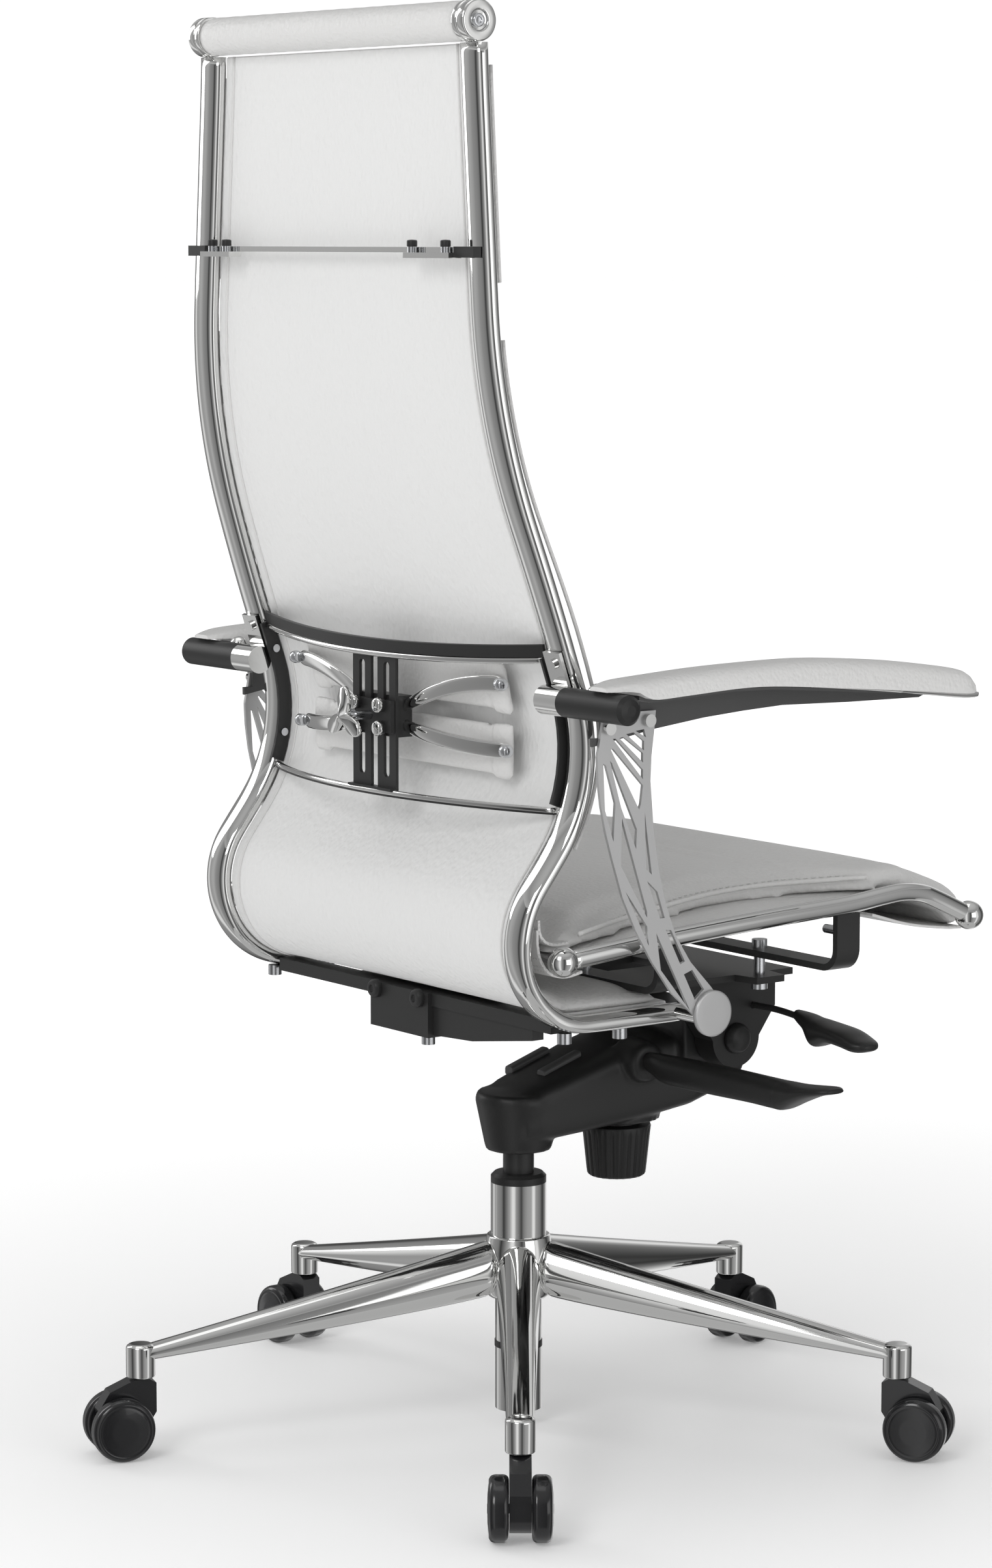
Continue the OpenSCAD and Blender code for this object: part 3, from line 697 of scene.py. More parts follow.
# Height of the cushion above the tube line: its lowest top edge, its full top, and its underside.
EDGE_UP, PUFF, UNDER_UP = 0.004, 0.0235, 0.0035
rings = []
for k in range(51):
    y = 0.142 - k * 0.008
    end = min(1.0, 0.45 + 0.55 * (k / 2.5))
    top = tube_z(y) + EDGE_UP + (PUFF - EDGE_UP) * end
    rings.append(seat_ring(y, top, y, tube_z(y) + UNDER_UP, seam_x(y)))
# The rolled front edge: (y, z) of the top and of the underside.
for yt, zt, yb, zb in ((-0.272, 0.5075, -0.270, 0.486), (-0.288, 0.5035, -0.283, 0.480),
                       (-0.304, 0.4985, -0.296, 0.472), (-0.320, 0.4920, -0.306, 0.466),
                       (-0.332, 0.4840, -0.313, 0.462), (-0.3385, 0.4740, -0.316, 0.460),
                       (-0.3390, 0.4630, -0.316, 0.458), (-0.3340, 0.4540, -0.314, 0.457),
                       (-0.3240, 0.4500, -0.312, 0.4565)):
    rings.append(seat_ring(yt, zt, yb, zb, seam_x(yt)))
CREASE_Y = -0.172


def seat_seams(co):
    """The crossing crease, and the gutters beside it that hollow the sitting area a little."""
    top = co.z - tube_z(co.y) > 0.012
    if not top or co.y < -0.30:
        return Vector()
    inside = max(0.0, 1 - (abs(co.x) / seam_x(co.y)) ** 6)
    z = -0.0030 * dent(co.y - CREASE_Y, 0.006) * inside
    if co.y > CREASE_Y:
        z -= 0.0035 * inside * min(1, (co.y - CREASE_Y) / 0.02)
    rim = seam_x(co.y) - 0.0075
    if -0.205 < co.y < 0.10:
        z -= 0.0016 * dent(abs(co.x) - rim, 0.0022)
    return Vector((0, 0, z))


def seat_underside(co):
    """True on the part of the seat cushion that is fixed to the sling and under the front edge."""
    return co.z < tube_z(co.y) + 0.0065 and co.y > -0.25 or -0.322 < co.y < -0.30


seat_pad = loft("seat_cushion_cover", rings, "white_leather", "seat_back")
stuffed(seat_pad, 0.0055, 0.005, seat_underside, seat_seams)
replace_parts(seat_pad, "seat_cushion")

SLING_THICK = 0.0028
rings = []
for k in range(47):
    y = 0.134 - k * 0.008
    w = 0.2285 if y > 0.118 else 0.2340
    ring = []
    for low, order in ((0, range(41)), (1, range(40, -1, -1))):
        for j in order:
            u = j / 20 - 1
            ring.append((u * w, y, tube_z(y) - 0.0005 + 0.0055 * (1 - abs(u) ** 8) - SLING_THICK * low))
    rings.append(ring)
sling = loft("seat_sling", rings, "white_leather", "seat_back", auto=0.0008)

FLAP_HALF = 0.2275


def wrapped_sheet(name, path, thick, mat=None):
    """A leather sheet that runs along a (y, z) path across the seat."""
    pts = smooth_path([(0, y, z) for y, z in path], 6)
    rings = []
    for i, p in enumerate(pts):
        d = (pts[min(i + 1, len(pts) - 1)] - pts[max(i - 1, 0)]).normalized()
        nrm = Vector((0, d.z, -d.y)) * thick / 2
        across = [FLAP_HALF * (j / 16 - 1) for j in range(33)]
        upper = [(x, p.y + nrm.y, p.z + nrm.z) for x in across]
        rings.append(upper + [(x, p.y - nrm.y, p.z - nrm.z) for x in across[::-1]])
    o = loft(name, rings, "white_leather", "seat_back", auto=0.0008)
    if mat:
        o.data.materials[0] = mat
    length = sum((b - a).length for a, b in zip(pts, pts[1:]))
    return o


wrapped_sheet("front_flap", [(-0.326, 0.4515), (-0.305, 0.4530), (-0.262, 0.4600), (-0.219, 0.4725)], 0.0026)
GUSSET = [(0.104, 0.4540), (0.122, 0.4515), (0.138, 0.4560), (0.1475, 0.4670), (0.1510, 0.4800),
          (0.1515, 0.4940)]
GUSSET_TOP = [(0.118, 0.4800), (0.133, 0.4795), (0.143, 0.4830), (0.1490, 0.4910), (0.1500, 0.5020)]
wrapped_sheet("rear_gusset", GUSSET, 0.0028, PERFORATED)
wrapped_sheet("rear_gusset_top", GUSSET_TOP, 0.0028, PERFORATED)

STITCH_LONG, STITCH_GAP, STITCH_R, STITCH_LIFT = 0.0040, 0.0022, 0.00075, 0.0002


def stitches(name, points, over, body):
    """Short raised dashes laid along points; over(p) drops a point onto the surface."""
    pts = [over(Vector(p)) for p in points]
    verts, faces = [], []
    run = 0.0
    for a, b in zip(pts, pts[1:]):
        d = b - a
        run += d.length
        if run < STITCH_LONG + STITCH_GAP:
            continue
        run = 0.0
        d.normalize()
        side = d.cross(Vector((0, 0, 1))).normalized()
        up = side.cross(d)
        base = len(verts)
        for f, k in ((-0.5, 0.3), (-0.25, 1.0), (0.25, 1.0), (0.5, 0.3)):
            c = b + d * (f * STITCH_LONG) + up * STITCH_LIFT
            for t in range(6):
                q = math.pi * t / 3
                verts.append(c + side * (STITCH_R * k * math.cos(q)) + up * (STITCH_R * k * math.sin(q)))
        for j in range(3):
            for t in range(6):
                m, n2 = base + j * 6 + t, base + j * 6 + (t + 1) % 6
                faces.append((m, n2, n2 + 6, m + 6))
        faces.append(tuple(range(base, base + 6))[::-1])
        faces.append(tuple(range(base + 18, base + 24)))
    o = finish_mesh(name, verts, faces, "white_leather", body)
    o.data.materials[0] = STITCH
    return o


def dropper(o):
    """A function that drops a point straight down onto a piece."""
    tree = BVHTree.FromObject(o, bpy.context.evaluated_depsgraph_get())

    def over(p):
        hit = tree.ray_cast(p + Vector((0, 0, 0.1)), Vector((0, 0, -1)))[0]
        return hit or p
    return over


over_seat = dropper(seat_pad)
STITCH_IN, SEAT_WELT_R = 0.0115, 0.0021
for s, side in SIDES:
    row = [(s * (seam_x(y) - STITCH_IN), y, 0.5) for y in (0.098 - 0.0012 * k for k in range(252))]
    stitches("seat_stitches_" + side, row, over_seat, "seat_back")
    ridge = [(s * (seam_x(y) + 0.0008), y, tube_z(y) + 0.0165)
             for y in (0.108 - 0.006 * k for k in range(54))]
    tube_along("seat_welt_" + side, ridge, SEAT_WELT_R, "white_leather", "seat_back", n=10)

# ---------------- arms

# (y, z) of the arm pad's lower and upper outline.
PAD_LOW = curve([(0.143, 0.6984), (0.121, 0.6984), (0.112, 0.6942), (0.100, 0.6912), (0.066, 0.6926),
                 (0.011, 0.6951), (-0.031, 0.6941), (-0.103, 0.6881), (-0.180, 0.6811), (-0.240, 0.6752),
                 (-0.258, 0.6750)])
PAD_TOP = curve([(-0.257, 0.6885), (-0.250, 0.6925), (-0.240, 0.6960), (-0.216, 0.7000), (-0.171, 0.7060),
                 (-0.127, 0.7100), (-0.083, 0.7130), (-0.040, 0.7135), (0.031, 0.7120), (0.086, 0.7090),
                 (0.118, 0.7065), (0.143, 0.7020)])
PAD_X, PAD_HALF, PAD_REAR_Y, PAD_LONG = 0.297, 0.025, 0.143, 0.400
TRIM_SECTION = ((0.2765, 0.0), (0.2765, 0.7), (0.279, 1.0), (0.3145, 1.0), (0.3185, 0.75), (0.3195, 0.35),
                (0.3190, 0.0))
for s, side in SIDES:
    rings = []
    for k in range(65):
        y = PAD_REAR_Y - PAD_LONG * k / 64
        tip = max(0.0, (-0.240 - y) / 0.017)
        back_end = max(0.0, (y - 0.108) / 0.035)
        a = PAD_HALF * (1 - 0.20 * tip ** 2.4) * (1 - 0.55 * back_end ** 2)
        low, top = PAD_LOW(y), PAD_TOP(y) - 0.0035 * tip ** 3
        ring = []
        for j in range(33):
            u = j / 16 - 1
            crown = (1 - abs(u) ** 5) ** 0.38 * (1 - 0.05 * u * u)
            ring.append((s * PAD_X + u * a, y, low + (top - low) * crown))
        ring += [(s * PAD_X + u * a, y, low) for u in (0.96, 0.5, 0.0, -0.5, -0.96)]
        rings.append(ring)
    pad = loft("arm_cushion_" + side, rings, "white_leather", "seat_back", auto=0.0015)
    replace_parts(pad, "arm_pad_" + side)
    rings = []
    for k in range(31):
        t = k / 30
        y = -0.070 - 0.1875 * t
        deep = 0.0010 + 0.0042 * t ** 1.4
        z = PAD_LOW(y) + 0.0004
        rings.append([(s * x, y, z - d * deep) for x, d in TRIM_SECTION])
    loft("arm_trim_" + side, rings, "chrome", "seat_back", auto=0.0005)

# ---------------- lumbar carriage

BOW_H = 0.2078


def bow_y(x, y0, sag):
    """y of a bow at x: y0 at its ends, y0 + sag in its middle."""
    r = (BOW_H ** 2 + sag ** 2) / (2 * sag)
    return y0 + sag - r + math.sqrt(r * r - x * x)


def bow_strip(name, section, y0, sag, place, slot, auto=0.0006):
    """A strip bowed to the rear; place turns its own (x, y, z) into the chair's."""
    rings = []
    for k in range(61):
        x = BOW_H * (k / 30 - 1)
        rings.append([place(x, bow_y(x, y0, sag) + a, b) for a, b in section])
    return loft(name, rings, slot, "seat_back", auto=auto)


def leaned(point, degrees, y0, z0):
    """A point turned about X and moved to (y0, z0)."""
    x, y, z = point
    c, q = math.cos(math.radians(degrees)), math.sin(math.radians(degrees))
    return (x, y0 + y * c - z * q, z0 + y * q + z * c)


def rail_tipped(x, y, z):
    return leaned((x, y, z), -13, 0.131, 0.7235)


def level(x, y, z):
    return (x, y, z)


def ring_section(r, at):
    return [(at[0] + a, at[1] + b) for a, b in circle(r, 18)]


UPPER_BOW, LOWER_BOW = (0.0, 0.033, rail_tipped), (0.121, 0.042, level)
UPPER_RAIL = [(0, -0.0048), (0, 0.0062), (-0.003, 0.0062), (-0.003, -0.0048)]
LOWER_RAIL = [(-0.0002, 0.5858), (-0.0002, 0.5880), (-0.0048, 0.5880), (-0.0048, 0.5858)]
up_rail = bow_strip("lumbar_rail_upper", UPPER_RAIL, *UPPER_BOW, "black_metal")
bow_strip("lumbar_rod_upper", ring_section(0.0028, (-0.0012, -0.0077)), *UPPER_BOW, "chrome", None)
bow_strip("lumbar_rod_lower", ring_section(0.0027, (-0.0025, 0.5893)), *LOWER_BOW, "chrome", None)
bow_strip("lumbar_rail_lower", LOWER_RAIL, *LOWER_BOW, "black_metal")
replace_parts(up_rail, "lumbar_rails")

SLAT_HALF, TAB_FROM, TAB_HIGH, SLAT_HIGH, SLAT_THICK = 0.150, 0.120, 0.0265, 0.0240, 0.0030


def lumbar_pad(name, place):
    """A thin stuffed slat with a slightly taller sewn tab at each end."""
    rings = []
    angles = [2 * math.pi * (j + 0.5) / 32 for j in range(32)]
    for k in range(61):
        x = SLAT_HALF * (k / 30 - 1)
        near_end = max(0, 1 - (SLAT_HALF - abs(x)) / 0.006)
        h = (TAB_HIGH if abs(x) > TAB_FROM else SLAT_HIGH) * (1 - 0.14 * near_end ** 2)
        t = SLAT_THICK * (1 - 0.45 * near_end ** 2)
        ring = []
        for a in angles:
            thick, high = abs(math.sin(a)) ** 0.5, abs(math.cos(a)) ** 0.25
            ring.append(place(x, t * math.copysign(thick, math.sin(a)), h * math.copysign(high, math.cos(a))))
        rings.append(ring)
    return loft(name, rings, "white_leather", "lumbar_carriage")


def pad_tipped(x, y, z):
    return leaned((x, y, z), -14, 0.1215, 0.688)


def pad_level(x, y, z):
    return (x, 0.1174 + y, 0.633 + z)


def pad_seam(co):
    """The seam between slat and tab, on the rear face."""
    return Vector((0, -0.0011 * dent(abs(co.x) - 0.121, 0.0022), 0)) if co.y > 0.1165 else Vector()


def slat_end(co):
    return abs(co.x) > SLAT_HALF - 0.001


for name, place in (("lumbar_pad_upper", pad_tipped), ("lumbar_pad_lower", pad_level)):
    slat = lumbar_pad(name, place)
    stuffed(slat, 0.004, 0.0010, slat_end, pad_seam, pressure=3.0)
    if place is pad_tipped:
        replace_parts(slat, "lumbar_pads")

TO_REAR = (0, 1, 0)
KNOB_Z = 0.655
# (share of the full radius, y) of the three-lobed knob from its front to its back.
KNOB_RINGS = ((0.02, 0.186), (0.94, 0.186), (1.0, 0.1868), (1.0, 0.1898), (0.94, 0.1908), (0.50, 0.1916),
              (0.22, 0.1945), (0.02, 0.1950))
rings = []
for scale, y in KNOB_RINGS:
    ring = []
    for j in range(96):
        t = 2 * math.pi * j / 96
        r = (0.0070 + 0.0195 * abs(math.cos(1.5 * (t - math.pi / 2))) ** 2.6) * scale
        ring.append((r * math.cos(t), y, KNOB_Z + r * math.sin(t)))
    rings.append(ring)
star_knob = loft("lumbar_star_knob", rings, "chrome", "lumbar_knob")
stem = rounded([(0, 0.142), (0.004, 0.142), (0.004, 0.178), (0.0065, 0.179), (0.0065, 0.1862), (0, 0.1862)],
               0.0006, 3)
lathe("lumbar_knob_stem", stem, (0, 0, KNOB_Z), TO_REAR, "bolt_steel", "lumbar_knob", n=28)
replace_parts(star_knob, "lumbar_knob")

BOW_ROOT_Y, BOW_THICK = 0.1428, 0.0031
arms = []
for s, side in SIDES[::-1]:
    for level_name, z0, z1, y1 in (("upper", 0.664, 0.692, 0.1305), ("lower", 0.647, 0.635, 0.125)):
        rings = []
        for k in range(33):
            t = k / 32
            x = 0.030 + 0.120 * t
            y = BOW_ROOT_Y + (y1 - 0.144) * t * t
            z = z0 + (z1 - z0) * (1 - (1 - t) ** 2)
            wide = (0.0048 + 0.0022 * min(1, t * 5)) * (1 - max(0, t - 0.96) * 8)
            section = squarish(1, 1, 28, 2.4)
            rings.append([(s * x, y + BOW_THICK * b + 0.0012, z + wide * a) for a, b in section])
        arms.append(loft("lumbar_bow_%s_%s" % (side, level_name), rings, "chrome", "lumbar_carriage"))
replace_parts(arms[0], "lumbar_arms")

SLIDER_BOLT = rounded([(0, 0.1648), (0.0068, 0.1648), (0.0068, 0.1672), (0.0055, 0.1692), (0, 0.1702)],
                      0.0008, 3)
END_NUT = rounded([(0, -0.0045), (0.0052, -0.0045), (0.0058, 0.0), (0.0052, 0.0035), (0.0030, 0.0052),
                   (0, 0.0056)], 0.0008, 3)
SLEEVE_DOME = rounded([(0, -0.002), (0.0085, -0.002), (0.0085, 0.003), (0.0070, 0.0080), (0.0035, 0.0105),
                       (0, 0.0110)], 0.001, 3)
for s in (-1, 1):
    for z in (0.645, 0.665):
        lathe("slider_bolt", SLIDER_BOLT, (s * 0.01825, 0, z), TO_REAR, "chrome", "lumbar_carriage", n=28)
    for y, z in ((0.1334, 0.692), (0.1279, 0.635)):
        lathe("arm_end_nut", END_NUT, (s * 0.1535, y + 0.001, z), (s, 0, 0), "bolt_steel", "lumbar_carriage",
              n=28)
for s in (-1, 1):
    lathe("sleeve_dome", SLEEVE_DOME, (s * 0.268, 0.120, 0.6905), (0, 0.25, 1), "chrome", "seat_back", n=36)

# ---------------- mechanism

# Sections of the housing: y, underside, top, half width.
HOUSING = ((0.0160, 0.2620, 0.3060, 0.033), (0.0000, 0.2625, 0.3125, 0.0385),
           (-0.020, 0.2630, 0.3190, 0.0410), (-0.040, 0.2645, 0.3255, 0.0435),
           (-0.080, 0.2680, 0.3385, 0.048), (-0.120, 0.2720, 0.3475, 0.052), (-0.160, 0.2780, 0.3500, 0.056),
           (-0.195, 0.2890, 0.3480, 0.056), (-0.218, 0.3000, 0.3410, 0.052), (-0.229, 0.3120, 0.3310, 0.044))
KNOB_CUP = [(0, 0.2665), (0.0395, 0.2675), (0.0405, 0.284), (0, 0.290)]
COLUMN_NOSE = [(0, 0.2515), (0.029, 0.2520), (0.0305, 0.2560), (0.0392, 0.2985), (0.0370, 0.3050),
               (0, 0.3100)]
LEVER_SOCKET = [(0, 0.030), (0.0205, 0.030), (0.0185, 0.056), (0.0160, 0.062), (0, 0.0635)]
TENSION_Y = -0.112
rings = []
for y, low, high, w in HOUSING:
    rings.append([(a, y, (low + high) / 2 + b) for a, b in squarish(w, (high - low) / 2, p=5.0)])
body = loft("housing_shell", rings, "black_plastic", "mechanism")
parts = [body]
for name, profile, at, axis, n in (("knob_cup", KNOB_CUP, (0, TENSION_Y, 0), UP, 48),
                                   ("column_nose", COLUMN_NOSE, ORIGIN, UP, 48),
                                   ("lever_socket", LEVER_SOCKET, (0, -0.1005, 0.3280), (-1, 0, 0), 40)):
    parts.append(lathe(name, profile, at, axis, "black_plastic", None, n))
corners = [(x, y, z) for x in (-0.0605, 0.0605) for y in (-0.214, -0.142) for z in (0.325, 0.366)]
BOX_FACES = [(0, 1, 3, 2), (4, 6, 7, 5), (0, 4, 5, 1), (2, 3, 7, 6), (0, 2, 6, 4), (1, 5, 7, 3)]
parts.append(finish_mesh("pivot_block", corners, BOX_FACES, "black_plastic", None))
bm = bmesh.new()
for o in parts:
    bm.from_mesh(o.data)
bm.to_mesh(body.data)
bm.free()
for o in parts[1:]:
    bpy.data.objects.remove(o)
m = body.modifiers.new("join", "REMESH")
m.mode = "VOXEL"
m.voxel_size = 0.0025
m = body.modifiers.new("soft", "SMOOTH")
m.factor = 0.6
m.iterations = 3
bake(body)
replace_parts(body, "mechanism_housing")

# Two short ribs on the sloping top of the housing: side, x, and y of the rear end.
for side, x, y0 in (("right", 0.011 - 0.020, -0.018), ("left", 0.011 + 0.020, -0.012)):
    rail = []
    for d in (0.0, 0.014, 0.028, 0.042):
        rail.append([(x + a, y0 - d, 0.3125 - (y0 - d) * 0.33 + b) for a, b in squarish(0.0060, 0.0042, 16)])
    loft("housing_rail_" + side, rail, "grey_web", "mechanism", auto=0.001)


def blade(name, stations, body):
    """A moulded handle; stations are (x, middle y, middle z, half depth, half height) and run outward."""
    pts = [smooth_path([(row[0], row[a], row[b]) for row in stations], 5) for a, b in ((1, 2), (3, 4))]
    rings = [[(c.x, c.y + a, c.z + b) for a, b in squarish(h.y, h.z, 36, 2.6)] for c, h in zip(*pts)]
    return loft(name, rings, "black_plastic", body)


HEIGHT_HANDLE = [(-0.0565, -0.100, 0.3300, 0.0070, 0.0070), (-0.070, -0.100, 0.3290, 0.0080, 0.0095),
                 (-0.092, -0.1005, 0.3262, 0.0105, 0.0130), (-0.145, -0.104, 0.3262, 0.0118, 0.0136),
                 (-0.195, -0.109, 0.3255, 0.0122, 0.0130), (-0.228, -0.1115, 0.3248, 0.0140, 0.0128),
                 (-0.240, -0.112, 0.3252, 0.0155, 0.0124), (-0.256, -0.1125, 0.3290, 0.0172, 0.0085),
                 (-0.276, -0.1125, 0.3340, 0.0175, 0.0050), (-0.294, -0.112, 0.3375, 0.0145, 0.0034),
                 (-0.303, -0.112, 0.3382, 0.0090, 0.0020)]
lever = blade("height_handle", HEIGHT_HANDLE, "height_lever")
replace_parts(lever, "height_lever")
LOCK_HANDLE = [(-0.150, -0.200, 0.3740, 0.0050, 0.0048), (-0.158, -0.1995, 0.3725, 0.0080, 0.0060),
               (-0.170, -0.198, 0.3700, 0.0110, 0.0080), (-0.181, -0.197, 0.3640, 0.0140, 0.0125),
               (-0.189, -0.197, 0.3638, 0.0155, 0.0120), (-0.203, -0.197, 0.3655, 0.0168, 0.0085),
               (-0.224, -0.1965, 0.3640, 0.0172, 0.0078), (-0.240, -0.1965, 0.3605, 0.0160, 0.0064),
               (-0.249, -0.1965, 0.3598, 0.0120, 0.0046), (-0.2535, -0.1965, 0.3598, 0.0060, 0.0024)]
paddle = blade("lock_handle", LOCK_HANDLE, "lock_lever")
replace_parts(paddle, "lock_paddle")
wire = smooth_path([(-0.064, -0.2, 0.374), (-0.095, -0.2, 0.3745), (-0.118, -0.2, 0.3748),
                    (-0.138, -0.1998, 0.3738), (-0.156, -0.199, 0.3722)], 6)
rod = tube_along("lock_wire", wire, 0.0030, "black_metal", "lock_lever", n=16)
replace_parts(rod, "lock_rod")
PIVOT_DOME = rounded([(0.0140, 0.0), (0.0140, 0.0030), (0.0115, 0.0075), (0.0060, 0.0100), (0, 0.0106)],
                     0.002)
for s, side in SIDES:
    lathe("pivot_dome_" + side, PIVOT_DOME, (s * 0.0882, -0.180, 0.346), (s, 0, 0), "black_plastic",
          "mechanism", n=40)
BAR_CAP = rounded([(0, 1.0575), (0.0044, 1.0575), (0.0044, 1.0632), (0, 1.0636)], 0.0012)
for k, x in enumerate((-0.177, -0.130, 0.149, 0.171), 1):
    lathe("bar_cap_%d" % k, BAR_CAP, (x, 0.2085, 0), UP, "black_metal", "seat_back", n=24)

GRIP = ((0.004, 0.2142), (0.0180, 0.2140), (0.0245, 0.2143), (0.0266, 0.2160), (0.0272, 0.2200),
        (0.0308, 0.2540), (0.0316, 0.2600), (0.0310, 0.2620), (0.0225, 0.2628), (0.0220, 0.2670),
        (0.004, 0.2674))
FLUTES = 24
rings = []
for r, z in GRIP:
    flute = 0.0013 if 0.2150 < z < 0.2560 else 0.0
    ring = []
    for t in (2 * math.pi * j / 192 for j in range(192)):
        out = r - flute * max(0.0, math.cos(FLUTES * t)) ** 2
        ring.append((out * math.cos(t), TENSION_Y + out * math.sin(t), z))
    rings.append(ring)
grip = loft("tension_grip", rings, "black_plastic", "tension_knob", auto=0.0006)
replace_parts(grip, "tension_knob")

# A smooth disc over each lower arm bolt; the photo shows no bolt head there.
FOOT_DISC = [(0, 0.2646), (0.0196, 0.2646), (0.0198, 0.2680), (0.0193, 0.2686), (0.0180, 0.2687),
             (0.0100, 0.2687), (0, 0.2687)]
BRACKET_BOLT = rounded([(0, 0.1235), (0.0082, 0.1235), (0.0082, 0.1275), (0.0068, 0.1300), (0.0036, 0.1302),
                        (0.0034, 0.1288), (0, 0.1286)], 0.0006, 3)
for s in (-1, 1):
    lathe("arm_foot_disc", FOOT_DISC, (0, -0.0048, 0.4128), (s, 0, 0), "satin_metal", "seat_back", n=56)
for x in (0.044, -0.020):
    lathe("bracket_bolt", BRACKET_BOLT, (x, 0, 0.405), TO_REAR, "black_metal", "seat_back", n=32)

# ---------------- plain nodes that only need softer edges

bevel_node("pivot_ears", 0.0022, 4, 30)
for n in ("top_plate", "lower_bar", "lower_bracket", "upper_bar", "lumbar_guides", "lumbar_slider",
          "lumbar_strips", "arm_web_left", "arm_web_right", "strap_bolts", "frame_screws", "arm_bolts",
          "pivot_pin", "arm_clamps", "arm_sleeves", "front_strap", "rear_strap", "upper_bar_blocks"):
    bevel_node(n, 0.0009)
for n in ("side_plate_left", "side_plate_right", "tension_screw"):
    bevel_node(n, 0.0005, 2)

# ---------------- stage, light and camera


def stage_sheet(name, verts, faces, mat):
    """A surface that belongs to the studio, not to the chair."""
    me = bpy.data.meshes.new(name)
    me.from_pydata(verts, [], faces)
    o = link(name, me)
    me.materials.append(mat)
    return o


def grade(node, stops):
    """Sets a grey colour ramp from (position, value) pairs."""
    el = node.color_ramp.elements
    for e, (p, v) in zip((el[0], el[1]), (stops[0], stops[-1])):
        e.position = p
        e.color = (v, v, v, 1)
    for p, v in stops[1:-1]:
        e = el.new(p)
        e.color = (v, v, v, 1)


FAR = 220
# Painted glow: the floor emits light of its own, weak near the chair and growing with distance from it, so
# the far floor reads white while the shadows near the chair stay visible.
glowing_floor_mat = material("floor", (0.93, 0.93, 0.93), 0.5, spec=0.3)
tree = glowing_floor_mat.node_tree
shader = tree.nodes["Principled BSDF"]
sock(shader, "Emission Color", (1, 1, 1, 1))
place = add_node(tree, "TexCoord")
reach = add_node(tree, "VectorMath")
reach.operation = "LENGTH"
glow = add_node(tree, "MapRange", From_Min=0.2, From_Max=2.6, To_Min=0.16, To_Max=0.66)
tree.links.new(place.outputs["Object"], reach.inputs[0])
tree.links.new(reach.outputs["Value"], glow.inputs["Value"])
tree.links.new(glow.outputs["Result"], shader.inputs["Emission Strength"])
corners = [(-FAR, -FAR, 0), (FAR, -FAR, 0), (FAR, FAR, 0), (-FAR, FAR, 0)]
floor_o = stage_sheet("floor", corners, [(0, 1, 2, 3)], glowing_floor_mat)
floor_o.visible_glossy = False

# A ring of grey wall with bright strips that only gloss sees: it draws the long streaks in the chrome.
wall_mat = bpy.data.materials.new("wall")
wall_mat.use_nodes = True
tree = wall_mat.node_tree
tree.nodes.clear()
out = add_node(tree, "OutputMaterial")
glow = add_node(tree, "Emission")
turn = add_node(tree, "TexGradient")
turn.gradient_type = "RADIAL"
tone = add_node(tree, "ValToRGB")
place = add_node(tree, "TexCoord")
tree.links.new(place.outputs["Object"], turn.inputs["Vector"])
tree.links.new(turn.outputs["Fac"], tone.inputs["Fac"])
tree.links.new(tone.outputs["Color"], glow.inputs["Color"])
tree.links.new(glow.outputs["Emission"], out.inputs["Surface"])
STRIPS = ((0.0, 0.36), (0.05, 0.42), (0.07, 0.85), (0.09, 0.85), (0.11, 0.36), (0.18, 0.20), (0.22, 0.04),
          (0.27, 0.20), (0.30, 0.42), (0.33, 0.80), (0.355, 0.85), (0.375, 0.34), (0.43, 0.06), (0.47, 0.24),
          (0.53, 0.30), (0.545, 0.80), (0.56, 0.80), (0.575, 0.34), (0.60, 0.46), (0.63, 0.30), (0.69, 0.22),
          (0.72, 0.04), (0.76, 0.20), (0.80, 0.42), (0.83, 0.85), (0.85, 0.85), (0.87, 0.36), (0.93, 0.06),
          (0.96, 0.24), (1.0, 0.36))
grade(tone, STRIPS)
WALL_R, WALL_SIDES, WALL_LOW, WALL_HIGH = 5.0, 72, -6.0, 3.2
ring = circle(WALL_R, WALL_SIDES)
verts = [(x, y, z) for z in (WALL_LOW, WALL_HIGH) for x, y in ring]
faces = [(k, (k + 1) % WALL_SIDES, WALL_SIDES + (k + 1) % WALL_SIDES, WALL_SIDES + k)
         for k in range(WALL_SIDES)]
wall = stage_sheet("wall", verts, faces, wall_mat)
wall.visible_camera = wall.visible_diffuse = wall.visible_shadow = wall.visible_transmission = False


def area(name, loc, target, size, power, size_y=None):
    """An area light that looks at target."""
    d = bpy.data.lights.new(name, "AREA")
    d.energy = power
    d.size = size
    if size_y:
        d.shape = "RECTANGLE"
        d.size_y = size_y
    o = link(name, d)
    o.location = loc
    o.rotation_euler = (Vector(target) - Vector(loc)).to_track_quat("-Z", "Y").to_euler()


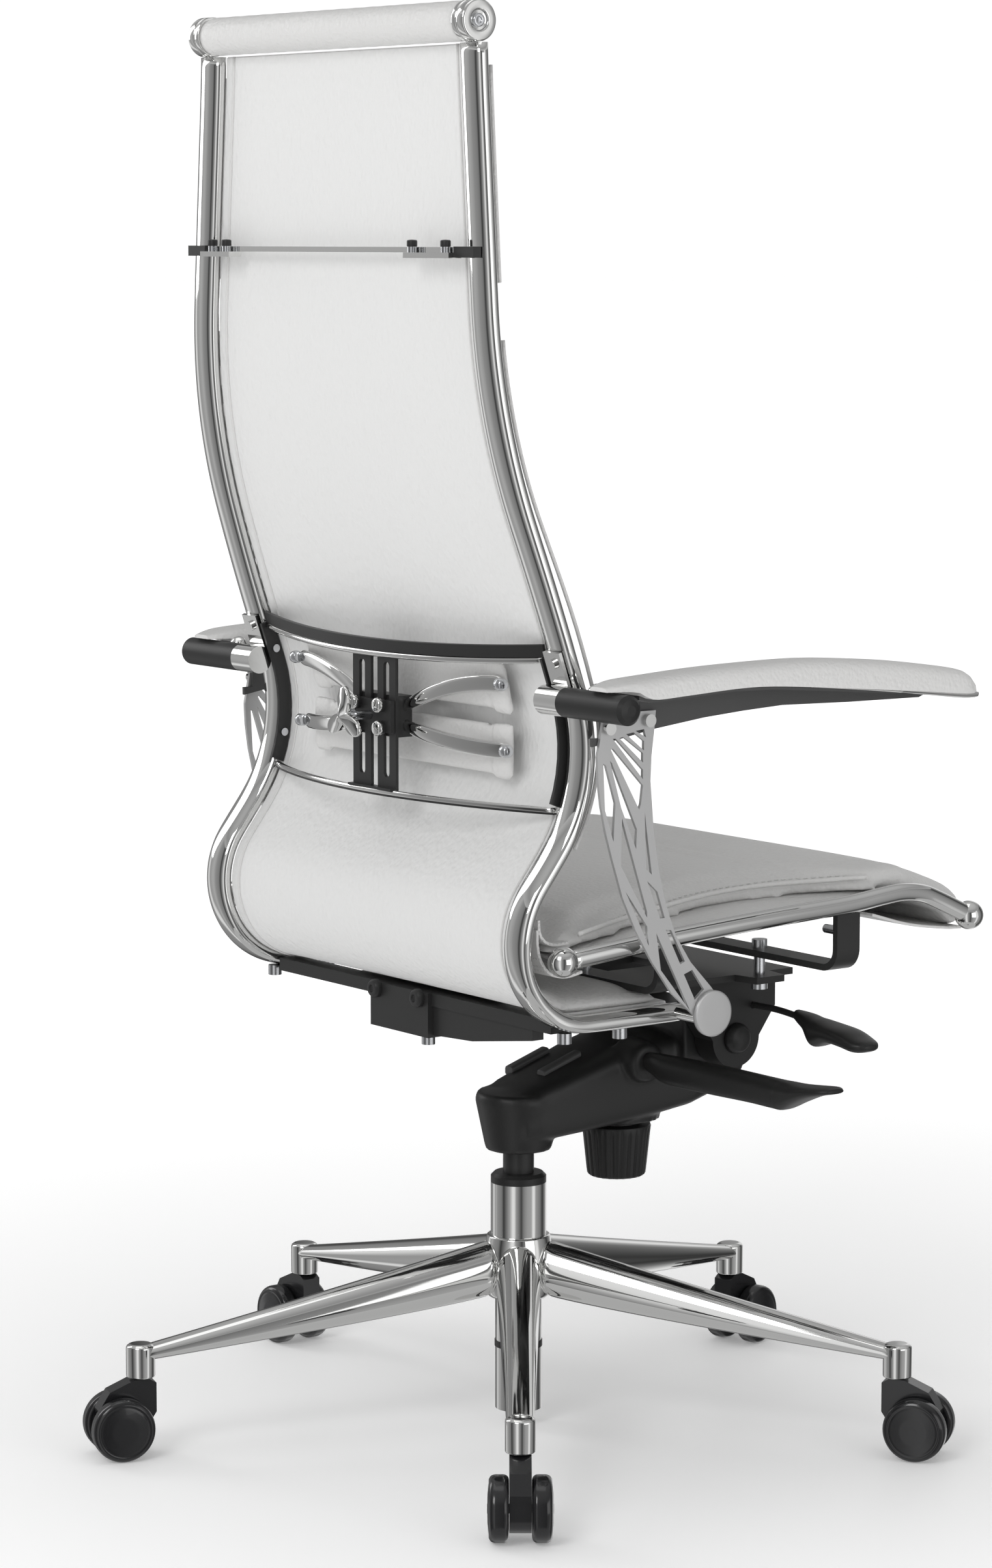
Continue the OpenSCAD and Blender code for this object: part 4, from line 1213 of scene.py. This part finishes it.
area("key", (-1.4, 3.2, 2.8), (0, 0, 0.6), 1.6, 40)
area("top", (0.4, 0.3, 3.6), (0, 0, 0.4), 2.2, 10)
area("side", (-3.0, -0.2, 0.75), (0, 0.05, 0.45), 1.8, 11)
area("far", (3.0, 1.2, 2.0), (0, 0, 0.7), 1.0, 16, 2.2)

SKY = [(0.0, 0.45), (0.40, 0.55), (0.47, 0.9), (0.5, 1.0), (0.60, 1.0), (0.70, 0.55), (0.80, 0.30),
       (0.90, 0.45), (1.0, 0.55)]
world = bpy.data.worlds.new("studio")
bpy.context.scene.world = world
bpy.context.scene.view_settings.view_transform = "Standard"
world.use_nodes = True
tree = world.node_tree
sky = tree.nodes["Background"]
sock(sky, "Strength", 1.02)
place = add_node(tree, "TexCoord")
parts_of = add_node(tree, "SeparateXYZ")
ramp = add_node(tree, "ValToRGB")
upness = add_node(tree, "MapRange", From_Min=-1.0)
tree.links.new(place.outputs["Generated"], parts_of.inputs[0])
tree.links.new(parts_of.outputs["Z"], upness.inputs["Value"])
tree.links.new(upness.outputs["Result"], ramp.inputs["Fac"])
tree.links.new(ramp.outputs["Color"], sky.inputs["Color"])
grade(ramp, SKY)

# The photo's camera: turn from the chair's back, aim off the column, pitch down, distance and height.
CAM_TURN, CAM_AIM, CAM_PITCH = math.radians(53.02), math.radians(-0.299), math.radians(7.12)
CAM_DISTANCE, CAM_HEIGHT, CAM_LENS = 3.8836, 1.0674, 100.93
yaw = math.atan2(math.sin(CAM_TURN), -math.cos(CAM_TURN)) + CAM_AIM
cam = bpy.data.cameras.new("camera")
cam.lens = CAM_LENS
cam.sensor_width = 36
cam.clip_end = 100
cam_o = link("camera", cam)
cam_o.location = (-math.sin(CAM_TURN) * CAM_DISTANCE, math.cos(CAM_TURN) * CAM_DISTANCE, CAM_HEIGHT)
look = Vector((math.sin(yaw) * math.cos(CAM_PITCH), math.cos(yaw) * math.cos(CAM_PITCH),
               -math.sin(CAM_PITCH)))
cam_o.rotation_euler = look.to_track_quat("-Z", "Y").to_euler()
bpy.context.scene.camera = cam_o
